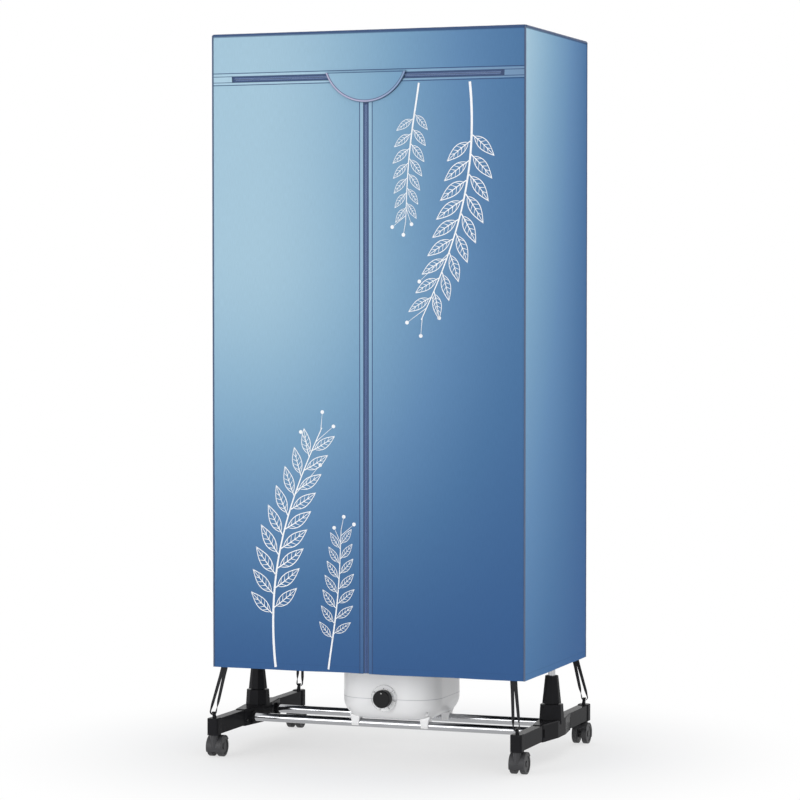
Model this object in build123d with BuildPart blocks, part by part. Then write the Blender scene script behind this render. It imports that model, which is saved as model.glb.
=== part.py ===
from build123d import *
import os
from math import sqrt

os.makedirs("parts", exist_ok=True)

# A clothes dryer cabinet: a cloth cover on a rolling tube frame, with a fan heater under it.
# Millimetres, floor at z = 0, middle of the base at the origin, front towards -Y.

# Whole object
cover_width = 726.0
cover_depth = 455.0
total_height = 1600.0
hem_height = 199.0

# Clearances
shaft_gap = 0.05
socket_gap = 0.1
soft_gap = 0.3
seam_gap = 0.1

# Cover cloth and its piping
cloth = 1.2
piping_radius = 2.2
piping_corner = 6.0
header_height = 94.0
fold_inset = 47.0
fold_gap = 0.4

# Zips
zip_band = 13.0
tape_width = 15.4
tape_thickness = 0.7
chain_width = 2.0
chain_thickness = 2.2
chain_gap = 1.2
chain_setback = 0.4
zip_end_inset = 5.0
tape_lift = 4.0
slider_width = 8.4
slider_length = 11.0
slider_plate = 1.1
slider_play = 0.2
slider_web = 0.6
rivet_radius = 1.2
rivet_head_radius = 2.0
rivet_head = 0.4
pull_length = 23.0
pull_width = 4.6
pull_thickness = 1.0
pull_front_gap = 0.4
centre_slider_drop = 31.5
side_slider_x = 30.0

# Flap over the parked sliders, and the patch behind them
flap_width = 185.0
flap_depth = 65.0
flap_offset = 3.1
flap_roll = 2.0
flap_cutout_gap = 0.8
guard_width = 196.0
guard_drop = 65.0
guard_rise = 24.0
guard_cloth = 1.0
guard_hem = 13.0

# Casters
wheel_radius = 22.5
wheel_width = 12.0
wheel_edge = 1.5
wheel_dish_radius = 17.0
wheel_dish = 1.5
wheel_cap_radius = 7.0
fork_web = 10.0
wheel_side_gap = 0.5
axle_radius = 3.0
axle_seat = 7.5
axle_press_gap = 0.02
fork_hub_radius = 9.0
caster_trail = 18.0
hood_gap = 1.0
hood_wall = 2.0
hood_front_angle = 205
hood_back_angle = 35
hood_cut_reach = 76.5
stem_radius = 5.0
stem_length = 28.0
stem_boss_radius = 9.0
stem_end_play = 1.0
swivel_gap = 2.0
thrust_gap = 0.4

# Feet
foot_height = 38.0
hub_half_length = 105.0
hub_end_width = 24.0
hub_middle_width = 48.0
hub_middle_length = 56.0
hub_corner = 6.0
hub_top_edge = 2.0
arm_width = 22.0
arm_inset = 1.5
arm_block = 26.0
arm_block_corner = 6.0
stem_overhang = 20.5
tongue_width = 15.8
tongue_length = 21.0
tongue_inset = 6.0
window_length = 6.0
window_height = 18.0
window_setback = 4.0
arm_screw_radius = 1.5
arm_screw_head = 3.0
arm_screw_head_height = 2.0
arm_screw_length = 11.0
arm_screw_setback = 12.0
arm_screw_drop = 7.0
spot_face = 0.6

# Strap hooks on the arm ends, and the elastic straps
hook_width = 6.0
hook_height = 14.0
hook_neck = 3.0
hook_nose = 4.0
hook_nose_height = 3.5
hook_base = 7.0
strap_thickness = 1.4
strap_width = 16.0
strap_leg = 5.0
strap_side_gap = 1.8
strap_lean = 15.0
strap_tab = 18.0
strap_join = 25.0
strap_rise = 6.5
strap_drop = 1.5

# Uprights, their sockets and collars
upright_radius = 8.0
upright_wall = 1.0
upright_side_gap = 0.8
upright_seat = 12.0
upright_joint_height = 860.0
upright_swage = 40.0
upright_shoulder = 6.0
tower_sides = 8
tower_height = 33.0
tower_root = 10.0
tower_bottom_width = 52.0
tower_top_width = 47.0
collar_neck_radius = 15.0
collar_neck_height = 2.0
collar_height = 61.0
collar_bottom_width = 39.0
collar_top_width = 27.0

# Floor tubes
floor_tube_radius = 9.5
floor_tube_wall = 1.0
floor_tube_y = 70.0
floor_tube_rise = 17.5
tube_socket_radius = 13.5
tube_socket_reach = 24.0
tube_socket_floor = 4.0
tube_end_play = 0.2

# Top rack
rack_drop = 36.0
rack_bar_height = 22.0
rack_bar_width = 16.0
rack_end_gap = 3.0
rack_post_length = 14.0
rack_post_inset = 2.0
rack_spigot = 30.0
rod_radius = 5.0
rod_count = 5
rod_inset = 47.5
rod_seat = 8.0
rod_end_play = 0.1

# Heater case
heater_width = 232.0
heater_corner = 66.0
heater_wall = 2.5
heater_bottom_gap = 2.0
heater_lower_height = 50.0
heater_upper_height = 107.0
heater_bottom_round = 44.0
heater_top_round = 20.0
case_post_inset = 26.0
case_post_radius = 8.0
case_post_rise = 26.0
case_screw_radius = 2.0
case_screw_head = 4.0
case_screw_head_height = 3.5
case_screw_seat = 33.0
case_screw_length = 38.0
intake_slots = 7
intake_slot_length = 70.0
intake_slot_width = 5.0
intake_slot_pitch = 11.0
clip_x = 82.0
clip_width = 18.0
clip_wall = 2.7
clip_mouth_angle = 60
clip_mouth_margin = 1.4
clip_seat_gap = 0.2
clip_reach = 34.0

# Heater outlet
outlet_inset = 28.0
outlet_flange = 4.0
outlet_flange_thickness = 2.0
outlet_plug = 4.0
outlet_slots = 11
outlet_slot_width = 7.0
outlet_slot_margin = 8.5
outlet_rim = 6.0

# Timer, dial and knob
dial_rise = 2.0
dial_radius = 30.5
dial_thickness = 2.5
dial_spigot_radius = 20.0
dial_spigot = 4.0
knob_radius = 19.9
knob_depth = 17.0
knob_edge = 2.5
knob_gap = 0.5
knob_dot_radius = 1.5
knob_dot_rise = 13.0
knob_dot_depth = 0.8
spindle_radius = 3.0
spindle_length = 23.0
timer_size = 32.0
timer_depth = 26.0
timer_bore = 20.0

# Fan, motor and element
motor_post_spread = 50.0
motor_post_radius = 5.0
motor_post_height = 18.5
bracket_thickness = 2.5
bracket_bar = 14.0
bracket_turn = 45
bracket_disc_radius = 32.0
motor_radius = 28.0
motor_height = 35.5
motor_nose_radius = 8.0
motor_nose = 4.0
motor_bore = 20.0
fan_shaft_radius = 3.0
fan_hub_radius = 20.0
fan_hub_height = 26.0
fan_hub_gap = 3.0
fan_tip_gap = 3.0
fan_blades = 7
fan_blade_chord = 22.0
fan_blade_thickness = 2.5
fan_blade_pitch = 35
fan_blade_root = 3.0
shroud_timer_gap = 5.5
shroud_wall = 2.5
shroud_flange = 2.4
shroud_height = 52.0
shroud_wall_gap = 0.2
shroud_notch_gap = 2.0
holder_lip = 3.5
holder_thickness = 3.0
element_end_inset = 15.0
element_side_inset = 35.0
element_height = 16.0
element_rail = 6.0
element_ledge = 3.0
element_fins = 12
element_fin_gap = 5.0
cutout_length = 22.0
cutout_width = 10.0
cutout_height = 8.0
cutout_gap = 8.0

# Cord gland in the back of the heater
gland_rise = 21.0
gland_bore_radius = 3.6
gland_barrel_radius = 6.0
gland_barrel_length = 12.0
gland_flange_radius = 9.0
gland_flange = 3.0

# Places that follow from the sizes above
half_width = cover_width / 2
half_depth = cover_depth / 2
side_inner = half_width - cloth
front_inner = half_depth - cloth
piping_x = half_width - cloth / 2
piping_y = half_depth - cloth / 2
piping_z = total_height - piping_radius
panel_trim = piping_radius + seam_gap
panel_x = piping_x - panel_trim
panel_y = piping_y - panel_trim
panel_top = piping_z - panel_trim
top_low = piping_z - cloth / 2
header_low = total_height - header_height
door_top = header_low - zip_band
zip_z = header_low - zip_band / 2
fold_x = half_width - fold_inset
zip_end_x = fold_x - zip_end_inset
upright_x = side_inner - upright_side_gap - upright_radius
stem_y = half_depth + stem_overhang
hood_inner = wheel_radius + hood_gap
hood_radius = hood_inner + hood_wall
foot_bottom = wheel_radius + hood_radius + swivel_gap
foot_top = foot_bottom + foot_height
tower_top = foot_top + tower_height
upright_foot = foot_bottom + upright_seat
floor_tube_z = foot_bottom + floor_tube_rise
rack_z = total_height - rack_drop - piping_radius
rod_z = rack_z + rack_bar_height / 2
rod_pitch = 2 * (half_depth - rod_inset) / (rod_count - 1)
rack_inner = upright_x - rack_bar_width / 2
heater_bottom = floor_tube_z + floor_tube_radius + heater_bottom_gap
heater_seam = heater_bottom + heater_lower_height
heater_top = heater_seam + heater_upper_height
heater_face = heater_width / 2
heater_inner = heater_face - heater_wall
case_post_spread = heater_face - case_post_inset
outlet_radius = heater_face - outlet_inset
outlet_slot_room = outlet_radius - outlet_rim - outlet_slot_margin - outlet_slot_width / 2
outlet_slot_pitch = 2 * outlet_slot_room / (outlet_slots - 1)
timer_back = heater_face - dial_spigot - timer_depth
shroud_radius = timer_back - shroud_timer_gap - shroud_wall
fan_radius = shroud_radius - fan_tip_gap
element_length = 2 * (shroud_radius - element_end_inset)
element_width = 2 * (shroud_radius - element_side_inset)
dial_z = heater_seam + dial_rise
gland_z = heater_seam + gland_rise
flange_low = heater_seam - shroud_flange / 2
flange_high = heater_seam + shroud_flange / 2
motor_low = heater_bottom + heater_wall + motor_post_height + bracket_thickness
motor_top = motor_low + motor_height
fan_low = motor_top + motor_nose + fan_hub_gap
fan_middle = fan_low + fan_hub_height / 2
holder_low = flange_high + shroud_height
element_low = holder_low + holder_thickness
case_posts = [(sx * case_post_spread, sy * case_post_spread) for sx in (-1, 1) for sy in (-1, 1)]
motor_posts = [(sx * motor_post_spread, sy * motor_post_spread) for sx in (-1, 1) for sy in (-1, 1)]
tape_outer = front_inner
tape_inner = tape_outer - tape_thickness
chain_outer = half_depth - chain_setback
chain_inner = chain_outer - chain_thickness
slider_front = chain_outer + slider_play + slider_plate
slider_back = chain_inner - slider_play - slider_plate
pull_inner = slider_front + pull_front_gap
rivet_tip = pull_inner + pull_thickness + slider_play + rivet_head
flap_inner = half_depth + flap_offset
flap_outer = flap_inner + cloth
flap_axis_y = flap_outer - flap_roll
flap_top = header_low + flap_roll + soft_gap
flap_rim_radius = ((flap_width / 2) ** 2 + flap_depth**2) / (2 * flap_depth)
flap_centre_z = flap_top - flap_depth + flap_rim_radius
cutout_radius = flap_rim_radius + flap_cutout_gap
guard_outer = slider_back - slider_play


def block(x_limits, y_limits, z_limits, mode=Mode.ADD):
    """A box between two limits along each axis."""
    limits = (x_limits, y_limits, z_limits)
    sizes = [high - low for low, high in limits]
    middle = [(high + low) / 2 for low, high in limits]
    with Locations(tuple(middle)):
        Box(*sizes, mode=mode)


def rod(start, end, radius, mode=Mode.ADD):
    """A round bar from one point to another."""
    run = Vector(*end) - Vector(*start)
    with Locations(Plane(origin=start, z_dir=run)):
        Cylinder(radius, run.length, align=(Align.CENTER, Align.CENTER, Align.MIN), mode=mode)


def octagon_tower(x, low, high, low_width, high_width):
    """An eight sided tapered post with its flats along X and Y."""
    sections = []
    for height, width in ((low, low_width), (high, high_width)):
        with BuildSketch(Plane.XY.offset(height)) as section:
            with Locations((x, 0)):
                RegularPolygon(width / 2, tower_sides, major_radius=False, rotation=180 / tower_sides)
        sections.append(section.sketch.face())
    loft(sections)


# Foot hub: a moulded bar with the upright's socket on top and two tube sockets on its inner side
with BuildPart() as foot_hub_right:
    with BuildSketch(Plane.XY.offset(foot_bottom)):
        with Locations((upright_x, 0)):
            Polygon(
                (hub_end_width / 2, -hub_half_length),
                (hub_middle_width / 2, -hub_middle_length / 2),
                (hub_middle_width / 2, hub_middle_length / 2),
                (hub_end_width / 2, hub_half_length),
                (-hub_end_width / 2, hub_half_length),
                (-hub_middle_width / 2, hub_middle_length / 2),
                (-hub_middle_width / 2, -hub_middle_length / 2),
                (-hub_end_width / 2, -hub_half_length),
            )
    extrude(amount=foot_height)
    fillet(foot_hub_right.edges().filter_by(Axis.Z), hub_corner)
    chamfer(foot_hub_right.faces().sort_by(Axis.Z)[-1].edges(), hub_top_edge)
    octagon_tower(upright_x, foot_top - tower_root, tower_top, tower_bottom_width, tower_top_width)
    for y in (-floor_tube_y, floor_tube_y):
        socket_mouth = (upright_x - tube_socket_reach, y, floor_tube_z)
        socket_floor = (upright_x - tube_socket_floor, y, floor_tube_z)
        rod((upright_x, y, floor_tube_z), socket_mouth, tube_socket_radius)
        rod(socket_floor, socket_mouth, floor_tube_radius + socket_gap, Mode.SUBTRACT)
    rod(
        (upright_x, 0, upright_foot),
        (upright_x, 0, tower_top),
        upright_radius + socket_gap,
        Mode.SUBTRACT,
    )
    pocket_half = tongue_width / 2 + socket_gap
    pocket_depth = tongue_length + socket_gap
    window_far = hub_half_length - window_setback
    for sign in (-1, 1):
        block(
            (upright_x - pocket_half, upright_x + pocket_half),
            sorted((sign * hub_half_length, sign * (hub_half_length - pocket_depth))),
            (foot_bottom + tongue_inset - socket_gap, foot_top - tongue_inset + socket_gap),
            Mode.SUBTRACT,
        )
        block(
            (upright_x, upright_x + hub_middle_width / 2),
            sorted((sign * (window_far + soft_gap), sign * (window_far - window_length - soft_gap))),
            (
                foot_bottom + (foot_height - window_height) / 2 - soft_gap,
                foot_top - (foot_height - window_height) / 2 + soft_gap,
            ),
            Mode.SUBTRACT,
        )
        screw_y = sign * (hub_half_length - arm_screw_setback)
        screw_z = foot_bottom + foot_height / 2 - arm_screw_drop
        rod(
            (upright_x, screw_y, screw_z),
            (upright_x - hub_middle_width / 2, screw_y, screw_z),
            arm_screw_radius + socket_gap,
            Mode.SUBTRACT,
        )
        rod(
            (upright_x - hub_end_width / 2 - spot_face, screw_y, screw_z),
            (upright_x - hub_middle_width / 2, screw_y, screw_z),
            arm_screw_head + soft_gap,
            Mode.SUBTRACT,
        )
foot_hub_right.part.label = "foot_hub_right"
export_step(foot_hub_right.part, "parts/foot_hub_right.step")

with BuildPart() as foot_hub_left:
    mirror(foot_hub_right.part, about=Plane.YZ)
foot_hub_left.part.label = "foot_hub_left"
export_step(foot_hub_left.part, "parts/foot_hub_left.step")

# Foot arm: a tongue into the hub, a bar, and an end block with the caster socket and the strap hook
with BuildPart() as foot_arm_front_right:
    with BuildSketch(Plane.XY.offset(foot_bottom)):
        with Locations((upright_x, -stem_y)):
            RectangleRounded(arm_block, arm_block, arm_block_corner)
    extrude(amount=foot_height)
    chamfer(foot_arm_front_right.faces().sort_by(Axis.Z)[-1].edges(), arm_inset)
    block(
        (upright_x - arm_width / 2, upright_x + arm_width / 2),
        (-stem_y, -hub_half_length),
        (foot_bottom + arm_inset, foot_top - arm_inset),
    )
    block(
        (upright_x - tongue_width / 2, upright_x + tongue_width / 2),
        (-hub_half_length, -hub_half_length + tongue_length),
        (foot_bottom + tongue_inset, foot_top - tongue_inset),
    )
    block(
        (upright_x, upright_x + hub_end_width / 2),
        (-window_far, -window_far + window_length),
        (foot_bottom + (foot_height - window_height) / 2, foot_top - (foot_height - window_height) / 2),
    )
    with BuildSketch(Plane.YZ.offset(upright_x - hook_width / 2)):
        with Locations((-stem_y, foot_top)):
            Polygon(
                (hook_base, 0),
                (hook_neck, hook_height / 2),
                (0, hook_height),
                (-hook_neck - hook_nose, hook_height),
                (-hook_neck - hook_nose, hook_height - hook_nose_height),
                (-hook_neck, hook_height - hook_nose_height),
                (-hook_neck, 0),
                align=None,
            )
    extrude(amount=hook_width)
    rod(
        (upright_x, -stem_y, foot_bottom),
        (upright_x, -stem_y, foot_bottom + stem_length + stem_end_play),
        stem_radius + shaft_gap,
        Mode.SUBTRACT,
    )
    rod(
        (upright_x - tongue_width / 2, -hub_half_length + arm_screw_setback, screw_z),
        (upright_x, -hub_half_length + arm_screw_setback, screw_z),
        arm_screw_radius + shaft_gap,
        Mode.SUBTRACT,
    )
foot_arm_front_right.part.label = "foot_arm_front_right"
export_step(foot_arm_front_right.part, "parts/foot_arm_front_right.step")

with BuildPart() as foot_arm_front_left:
    mirror(foot_arm_front_right.part, about=Plane.YZ)
foot_arm_front_left.part.label = "foot_arm_front_left"
export_step(foot_arm_front_left.part, "parts/foot_arm_front_left.step")

with BuildPart() as foot_arm_rear_right:
    mirror(foot_arm_front_right.part, about=Plane.XZ)
foot_arm_rear_right.part.label = "foot_arm_rear_right"
export_step(foot_arm_rear_right.part, "parts/foot_arm_rear_right.step")

with BuildPart() as foot_arm_rear_left:
    mirror(foot_arm_front_left.part, about=Plane.XZ)
foot_arm_rear_left.part.label = "foot_arm_rear_left"
export_step(foot_arm_rear_left.part, "parts/foot_arm_rear_left.step")

# Arm screws: one through the inner wall of the hub into each tongue
with BuildPart() as arm_screws:
    screw_face = upright_x - hub_end_width / 2 - spot_face
    for side in (-1, 1):
        for screw_y in (-hub_half_length + arm_screw_setback, hub_half_length - arm_screw_setback):
            rod(
                (side * screw_face, screw_y, screw_z),
                (side * (screw_face + arm_screw_length), screw_y, screw_z),
                arm_screw_radius,
            )
            rod(
                (side * (screw_face - arm_screw_head_height), screw_y, screw_z),
                (side * screw_face, screw_y, screw_z),
                arm_screw_head,
            )
arm_screws.part.label = "arm_screws"
export_step(arm_screws.part, "parts/arm_screws.step")

# Caster fork: a hood over both wheels, a web between them for the axle, and the swivel stem
wheel_inner_face = fork_web / 2 + wheel_side_gap
wheel_outer_face = wheel_inner_face + wheel_width
with BuildPart() as caster_fork:
    with BuildSketch(Plane.YZ.offset(-wheel_outer_face)):
        with Locations((caster_trail, wheel_radius)):
            Circle(hood_radius)
        with BuildLine():
            corner = (caster_trail, wheel_radius)
            front = PolarLine(corner, hood_cut_reach, hood_front_angle)
            under = PolarLine(corner, hood_cut_reach, (hood_front_angle + 360) / 2)
            behind = PolarLine(corner, hood_cut_reach, hood_back_angle / 2)
            back = PolarLine(corner, hood_cut_reach, hood_back_angle)
        Polygon(corner, front @ 1, under @ 1, behind @ 1, back @ 1, align=None, mode=Mode.SUBTRACT)
    extrude(amount=2 * wheel_outer_face)
    rod(
        (-fork_web / 2, caster_trail, wheel_radius),
        (fork_web / 2, caster_trail, wheel_radius),
        fork_hub_radius,
    )
    rod((0, 0, wheel_radius), (0, 0, foot_bottom - thrust_gap), stem_boss_radius)
    for side in (-1, 1):
        rod(
            (side * fork_web / 2, caster_trail, wheel_radius),
            (side * 2 * wheel_outer_face, caster_trail, wheel_radius),
            hood_inner,
            Mode.SUBTRACT,
        )
    rod((0, 0, foot_bottom - swivel_gap), (0, 0, foot_bottom + stem_length), stem_radius)
    rod(
        (-fork_web, caster_trail, wheel_radius),
        (fork_web, caster_trail, wheel_radius),
        axle_radius + shaft_gap,
        Mode.SUBTRACT,
    )

# Wheel set: two dished wheels on one axle
with BuildPart() as caster_wheel:
    rod(
        (wheel_inner_face, caster_trail, wheel_radius),
        (wheel_outer_face, caster_trail, wheel_radius),
        wheel_radius,
    )
    fillet(caster_wheel.edges().filter_by(GeomType.CIRCLE), wheel_edge)
    rod(
        (wheel_outer_face - wheel_dish, caster_trail, wheel_radius),
        (wheel_outer_face, caster_trail, wheel_radius),
        wheel_dish_radius,
        Mode.SUBTRACT,
    )
    rod(
        (wheel_outer_face - wheel_dish, caster_trail, wheel_radius),
        (wheel_outer_face, caster_trail, wheel_radius),
        wheel_cap_radius,
    )
    rod(
        (wheel_inner_face, caster_trail, wheel_radius),
        (wheel_inner_face + axle_seat + axle_press_gap, caster_trail, wheel_radius),
        axle_radius + axle_press_gap,
        Mode.SUBTRACT,
    )

with BuildPart() as caster_wheel_pair:
    add(caster_wheel.part)
    mirror(caster_wheel.part, about=Plane.YZ)
    axle_end = wheel_inner_face + axle_seat
    rod((-axle_end, caster_trail, wheel_radius), (axle_end, caster_trail, wheel_radius), axle_radius)

caster_places = (
    ("front_left", -upright_x, -stem_y, 0),
    ("front_right", upright_x, -stem_y, 0),
    ("rear_left", -upright_x, stem_y, 180),
    ("rear_right", upright_x, stem_y, 180),
)
for place, x, y, turn in caster_places:
    with BuildPart() as placed_fork:
        with Locations(Location((x, y, 0), (0, 0, turn))):
            add(caster_fork.part)
    placed_fork.part.label = f"caster_fork_{place}"
    export_step(placed_fork.part, f"parts/caster_fork_{place}.step")
    with BuildPart() as placed_wheels:
        with Locations(Location((x, y, 0), (0, 0, turn))):
            add(caster_wheel_pair.part)
    placed_wheels.part.label = f"caster_wheels_{place}"
    export_step(placed_wheels.part, f"parts/caster_wheels_{place}.step")

# Floor tubes: two chromed tubes between the hubs, which carry the heater
floor_tube_end = upright_x - tube_socket_floor - tube_end_play
for place, y in (("front", -floor_tube_y), ("rear", floor_tube_y)):
    with BuildPart() as floor_tube:
        rod((-floor_tube_end, y, floor_tube_z), (floor_tube_end, y, floor_tube_z), floor_tube_radius)
        rod(
            (-floor_tube_end, y, floor_tube_z),
            (floor_tube_end, y, floor_tube_z),
            floor_tube_radius - floor_tube_wall,
            Mode.SUBTRACT,
        )
    floor_tube.part.label = f"floor_tube_{place}"
    export_step(floor_tube.part, f"parts/floor_tube_{place}.step")

# Uprights: a lower tube in the hub, and an upper tube whose swaged end plugs into it
upright_bore = upright_radius - upright_wall
swage_radius = upright_bore - shaft_gap
for place, x in (("left", -upright_x), ("right", upright_x)):
    with BuildPart() as upright_lower:
        rod((x, 0, upright_foot), (x, 0, upright_joint_height), upright_radius)
        rod((x, 0, upright_foot), (x, 0, upright_joint_height), upright_bore, Mode.SUBTRACT)
    upright_lower.part.label = f"upright_lower_{place}"
    export_step(upright_lower.part, f"parts/upright_lower_{place}.step")
    with BuildPart() as upright_upper:
        swage_low = upright_joint_height - upright_swage
        shoulder = upright_joint_height + upright_shoulder
        rod((x, 0, upright_joint_height), (x, 0, rack_z), upright_radius)
        rod((x, 0, swage_low), (x, 0, upright_joint_height), swage_radius)
        rod((x, 0, shoulder), (x, 0, rack_z), upright_bore, Mode.SUBTRACT)
        rod((x, 0, swage_low), (x, 0, shoulder), swage_radius - upright_wall, Mode.SUBTRACT)
    upright_upper.part.label = f"upright_upper_{place}"
    export_step(upright_upper.part, f"parts/upright_upper_{place}.step")

# Collars: tapered sleeves over the uprights, standing on the hubs' sockets
with BuildPart() as upright_collars:
    collar_low = tower_top + collar_neck_height
    collar_top = collar_low + collar_height
    for x in (-upright_x, upright_x):
        octagon_tower(x, collar_low, collar_top, collar_bottom_width, collar_top_width)
        rod((x, 0, tower_top), (x, 0, collar_low), collar_neck_radius)
        rod((x, 0, tower_top), (x, 0, collar_top), upright_radius + socket_gap, Mode.SUBTRACT)
upright_collars.part.label = "upright_collars"
export_step(upright_collars.part, "parts/upright_collars.step")

# Top brackets: a bar across each upright, with turned up ends under the cover's top
rack_half = front_inner - rack_end_gap
rod_places = [rod_pitch * (index - (rod_count - 1) / 2) for index in range(rod_count)]
with BuildPart() as top_brackets:
    for side in (-1, 1):
        x = side * upright_x
        bar_limits = (x - rack_bar_width / 2, x + rack_bar_width / 2)
        block(bar_limits, (-rack_half, rack_half), (rack_z, rack_z + rack_bar_height))
        for end in (-1, 1):
            post_limits = sorted((end * rack_half, end * (rack_half - rack_post_length)))
            post_width = (bar_limits[0] + rack_post_inset, bar_limits[1] - rack_post_inset)
            block(post_width, post_limits, (rack_z, top_low - soft_gap))
        rod((x, 0, rack_z - rack_spigot), (x, 0, rack_z), upright_bore - shaft_gap)
        for y in rod_places:
            rod(
                (side * rack_inner, y, rod_z),
                (side * (rack_inner + rod_seat), y, rod_z),
                rod_radius + socket_gap,
                Mode.SUBTRACT,
            )
top_brackets.part.label = "top_brackets"
export_step(top_brackets.part, "parts/top_brackets.step")

# Hanging rods between the top brackets
with BuildPart() as hanging_rods:
    rod_end = rack_inner + rod_seat - rod_end_play
    for y in rod_places:
        rod((-rod_end, y, rod_z), (rod_end, y, rod_z), rod_radius)
hanging_rods.part.label = "hanging_rods"
export_step(hanging_rods.part, "parts/hanging_rods.step")

# Heater lower shell: a round cornered bowl with posts for the screws and the motor, and intake slots
with BuildPart() as heater_bowl:
    with BuildSketch(Plane.XY.offset(heater_bottom)):
        RectangleRounded(heater_width, heater_width, heater_corner)
    extrude(amount=heater_lower_height)
    fillet(heater_bowl.faces().sort_by(Axis.Z)[0].edges(), heater_bottom_round)

with BuildPart() as heater_bowl_room:
    with BuildSketch(Plane.XY.offset(heater_bottom + heater_wall)):
        RectangleRounded(2 * heater_inner, 2 * heater_inner, heater_corner - heater_wall)
    extrude(amount=heater_lower_height - heater_wall)
    fillet(heater_bowl_room.faces().sort_by(Axis.Z)[0].edges(), heater_bottom_round - heater_wall)
    for x, y in case_posts:
        rod((x, y, heater_bottom), (x, y, flange_low), case_post_radius, Mode.SUBTRACT)
    for x, y in motor_posts:
        motor_post_top = heater_bottom + heater_wall + motor_post_height
        rod((x, y, heater_bottom), (x, y, motor_post_top), motor_post_radius, Mode.SUBTRACT)

with BuildPart() as heater_lower_shell:
    add(heater_bowl.part)
    add(heater_bowl_room.part, mode=Mode.SUBTRACT)
    for x, y in case_posts:
        seat_z = heater_bottom + case_screw_seat
        rod((x, y, heater_bottom), (x, y, heater_seam), case_screw_radius + socket_gap, Mode.SUBTRACT)
        rod((x, y, heater_bottom), (x, y, seat_z), case_screw_head + soft_gap, Mode.SUBTRACT)
    with BuildSketch(Plane.XY.offset(heater_bottom)):
        with GridLocations(0, intake_slot_pitch, 1, intake_slots):
            SlotOverall(intake_slot_length, intake_slot_width)
    extrude(amount=heater_wall, mode=Mode.SUBTRACT)
    rod(
        (0, -heater_face, dial_z),
        (0, -heater_face + dial_spigot, dial_z),
        dial_spigot_radius + socket_gap,
        Mode.SUBTRACT,
    )
heater_lower_shell.part.label = "heater_lower_shell"
export_step(heater_lower_shell.part, "parts/heater_lower_shell.step")

# Heater upper shell: the same plan, with screw bosses in its corners and the round outlet in its roof
with BuildPart() as heater_dome_room:
    with BuildSketch(Plane.XY.offset(heater_seam)):
        RectangleRounded(2 * heater_inner, 2 * heater_inner, heater_corner - heater_wall)
    extrude(amount=heater_upper_height - heater_wall)
    fillet(heater_dome_room.faces().sort_by(Axis.Z)[-1].edges(), heater_top_round - heater_wall)
    for x, y in case_posts:
        rod((x, y, flange_high), (x, y, heater_seam + case_post_rise), case_post_radius, Mode.SUBTRACT)

with BuildPart() as heater_upper_shell:
    with BuildSketch(Plane.XY.offset(heater_seam)):
        RectangleRounded(heater_width, heater_width, heater_corner)
    extrude(amount=heater_upper_height)
    fillet(heater_upper_shell.faces().sort_by(Axis.Z)[-1].edges(), heater_top_round)
    add(heater_dome_room.part, mode=Mode.SUBTRACT)
    screw_tip = heater_bottom + case_screw_seat + case_screw_length
    for x, y in case_posts:
        screw_hole_top = screw_tip + stem_end_play
        rod((x, y, flange_high), (x, y, screw_hole_top), case_screw_radius + shaft_gap, Mode.SUBTRACT)
    rod((0, 0, heater_top - heater_wall), (0, 0, heater_top), outlet_radius, Mode.SUBTRACT)
    rod(
        (0, -heater_face, dial_z),
        (0, -heater_face + dial_spigot, dial_z),
        dial_spigot_radius + socket_gap,
        Mode.SUBTRACT,
    )
    rod(
        (0, heater_face, gland_z),
        (0, heater_face - heater_wall, gland_z),
        gland_barrel_radius + socket_gap,
        Mode.SUBTRACT,
    )
heater_upper_shell.part.label = "heater_upper_shell"
export_step(heater_upper_shell.part, "parts/heater_upper_shell.step")

# Case screws: four long screws up through the lower posts into the upper bosses
with BuildPart() as heater_screws:
    for x, y in case_posts:
        rod((x, y, seat_z - case_screw_head_height), (x, y, seat_z), case_screw_head)
        rod((x, y, seat_z), (x, y, screw_tip), case_screw_radius)
heater_screws.part.label = "heater_screws"
export_step(heater_screws.part, "parts/heater_screws.step")

# Tube clips: four snap saddles under the bowl, open downwards, round the floor tubes
with BuildPart() as heater_tube_clips:
    clip_radius = floor_tube_radius + socket_gap + clip_wall
    clip_mouth_reach = 2 * clip_radius + clip_mouth_margin
    for x in (-clip_x, clip_x):
        for y in (-floor_tube_y, floor_tube_y):
            with BuildSketch(Plane.YZ.offset(x - clip_width / 2)):
                with Locations((y, floor_tube_z)):
                    Circle(clip_radius)
                with Locations((y, floor_tube_z + clip_reach / 2)):
                    Rectangle(2 * clip_radius, clip_reach)
                with Locations((y, floor_tube_z)):
                    Circle(floor_tube_radius + socket_gap, mode=Mode.SUBTRACT)
                with BuildLine():
                    centre = (y, floor_tube_z)
                    near = PolarLine(centre, clip_mouth_reach, 270 - clip_mouth_angle)
                    far = PolarLine(centre, clip_mouth_reach, 270 + clip_mouth_angle)
                Polygon(centre, near @ 1, far @ 1, align=None, mode=Mode.SUBTRACT)
            extrude(amount=clip_width)
    with Locations((0, 0, -clip_seat_gap)):
        add(heater_bowl.part, mode=Mode.SUBTRACT)
heater_tube_clips.part.label = "heater_tube_clips"
export_step(heater_tube_clips.part, "parts/heater_tube_clips.step")

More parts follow.
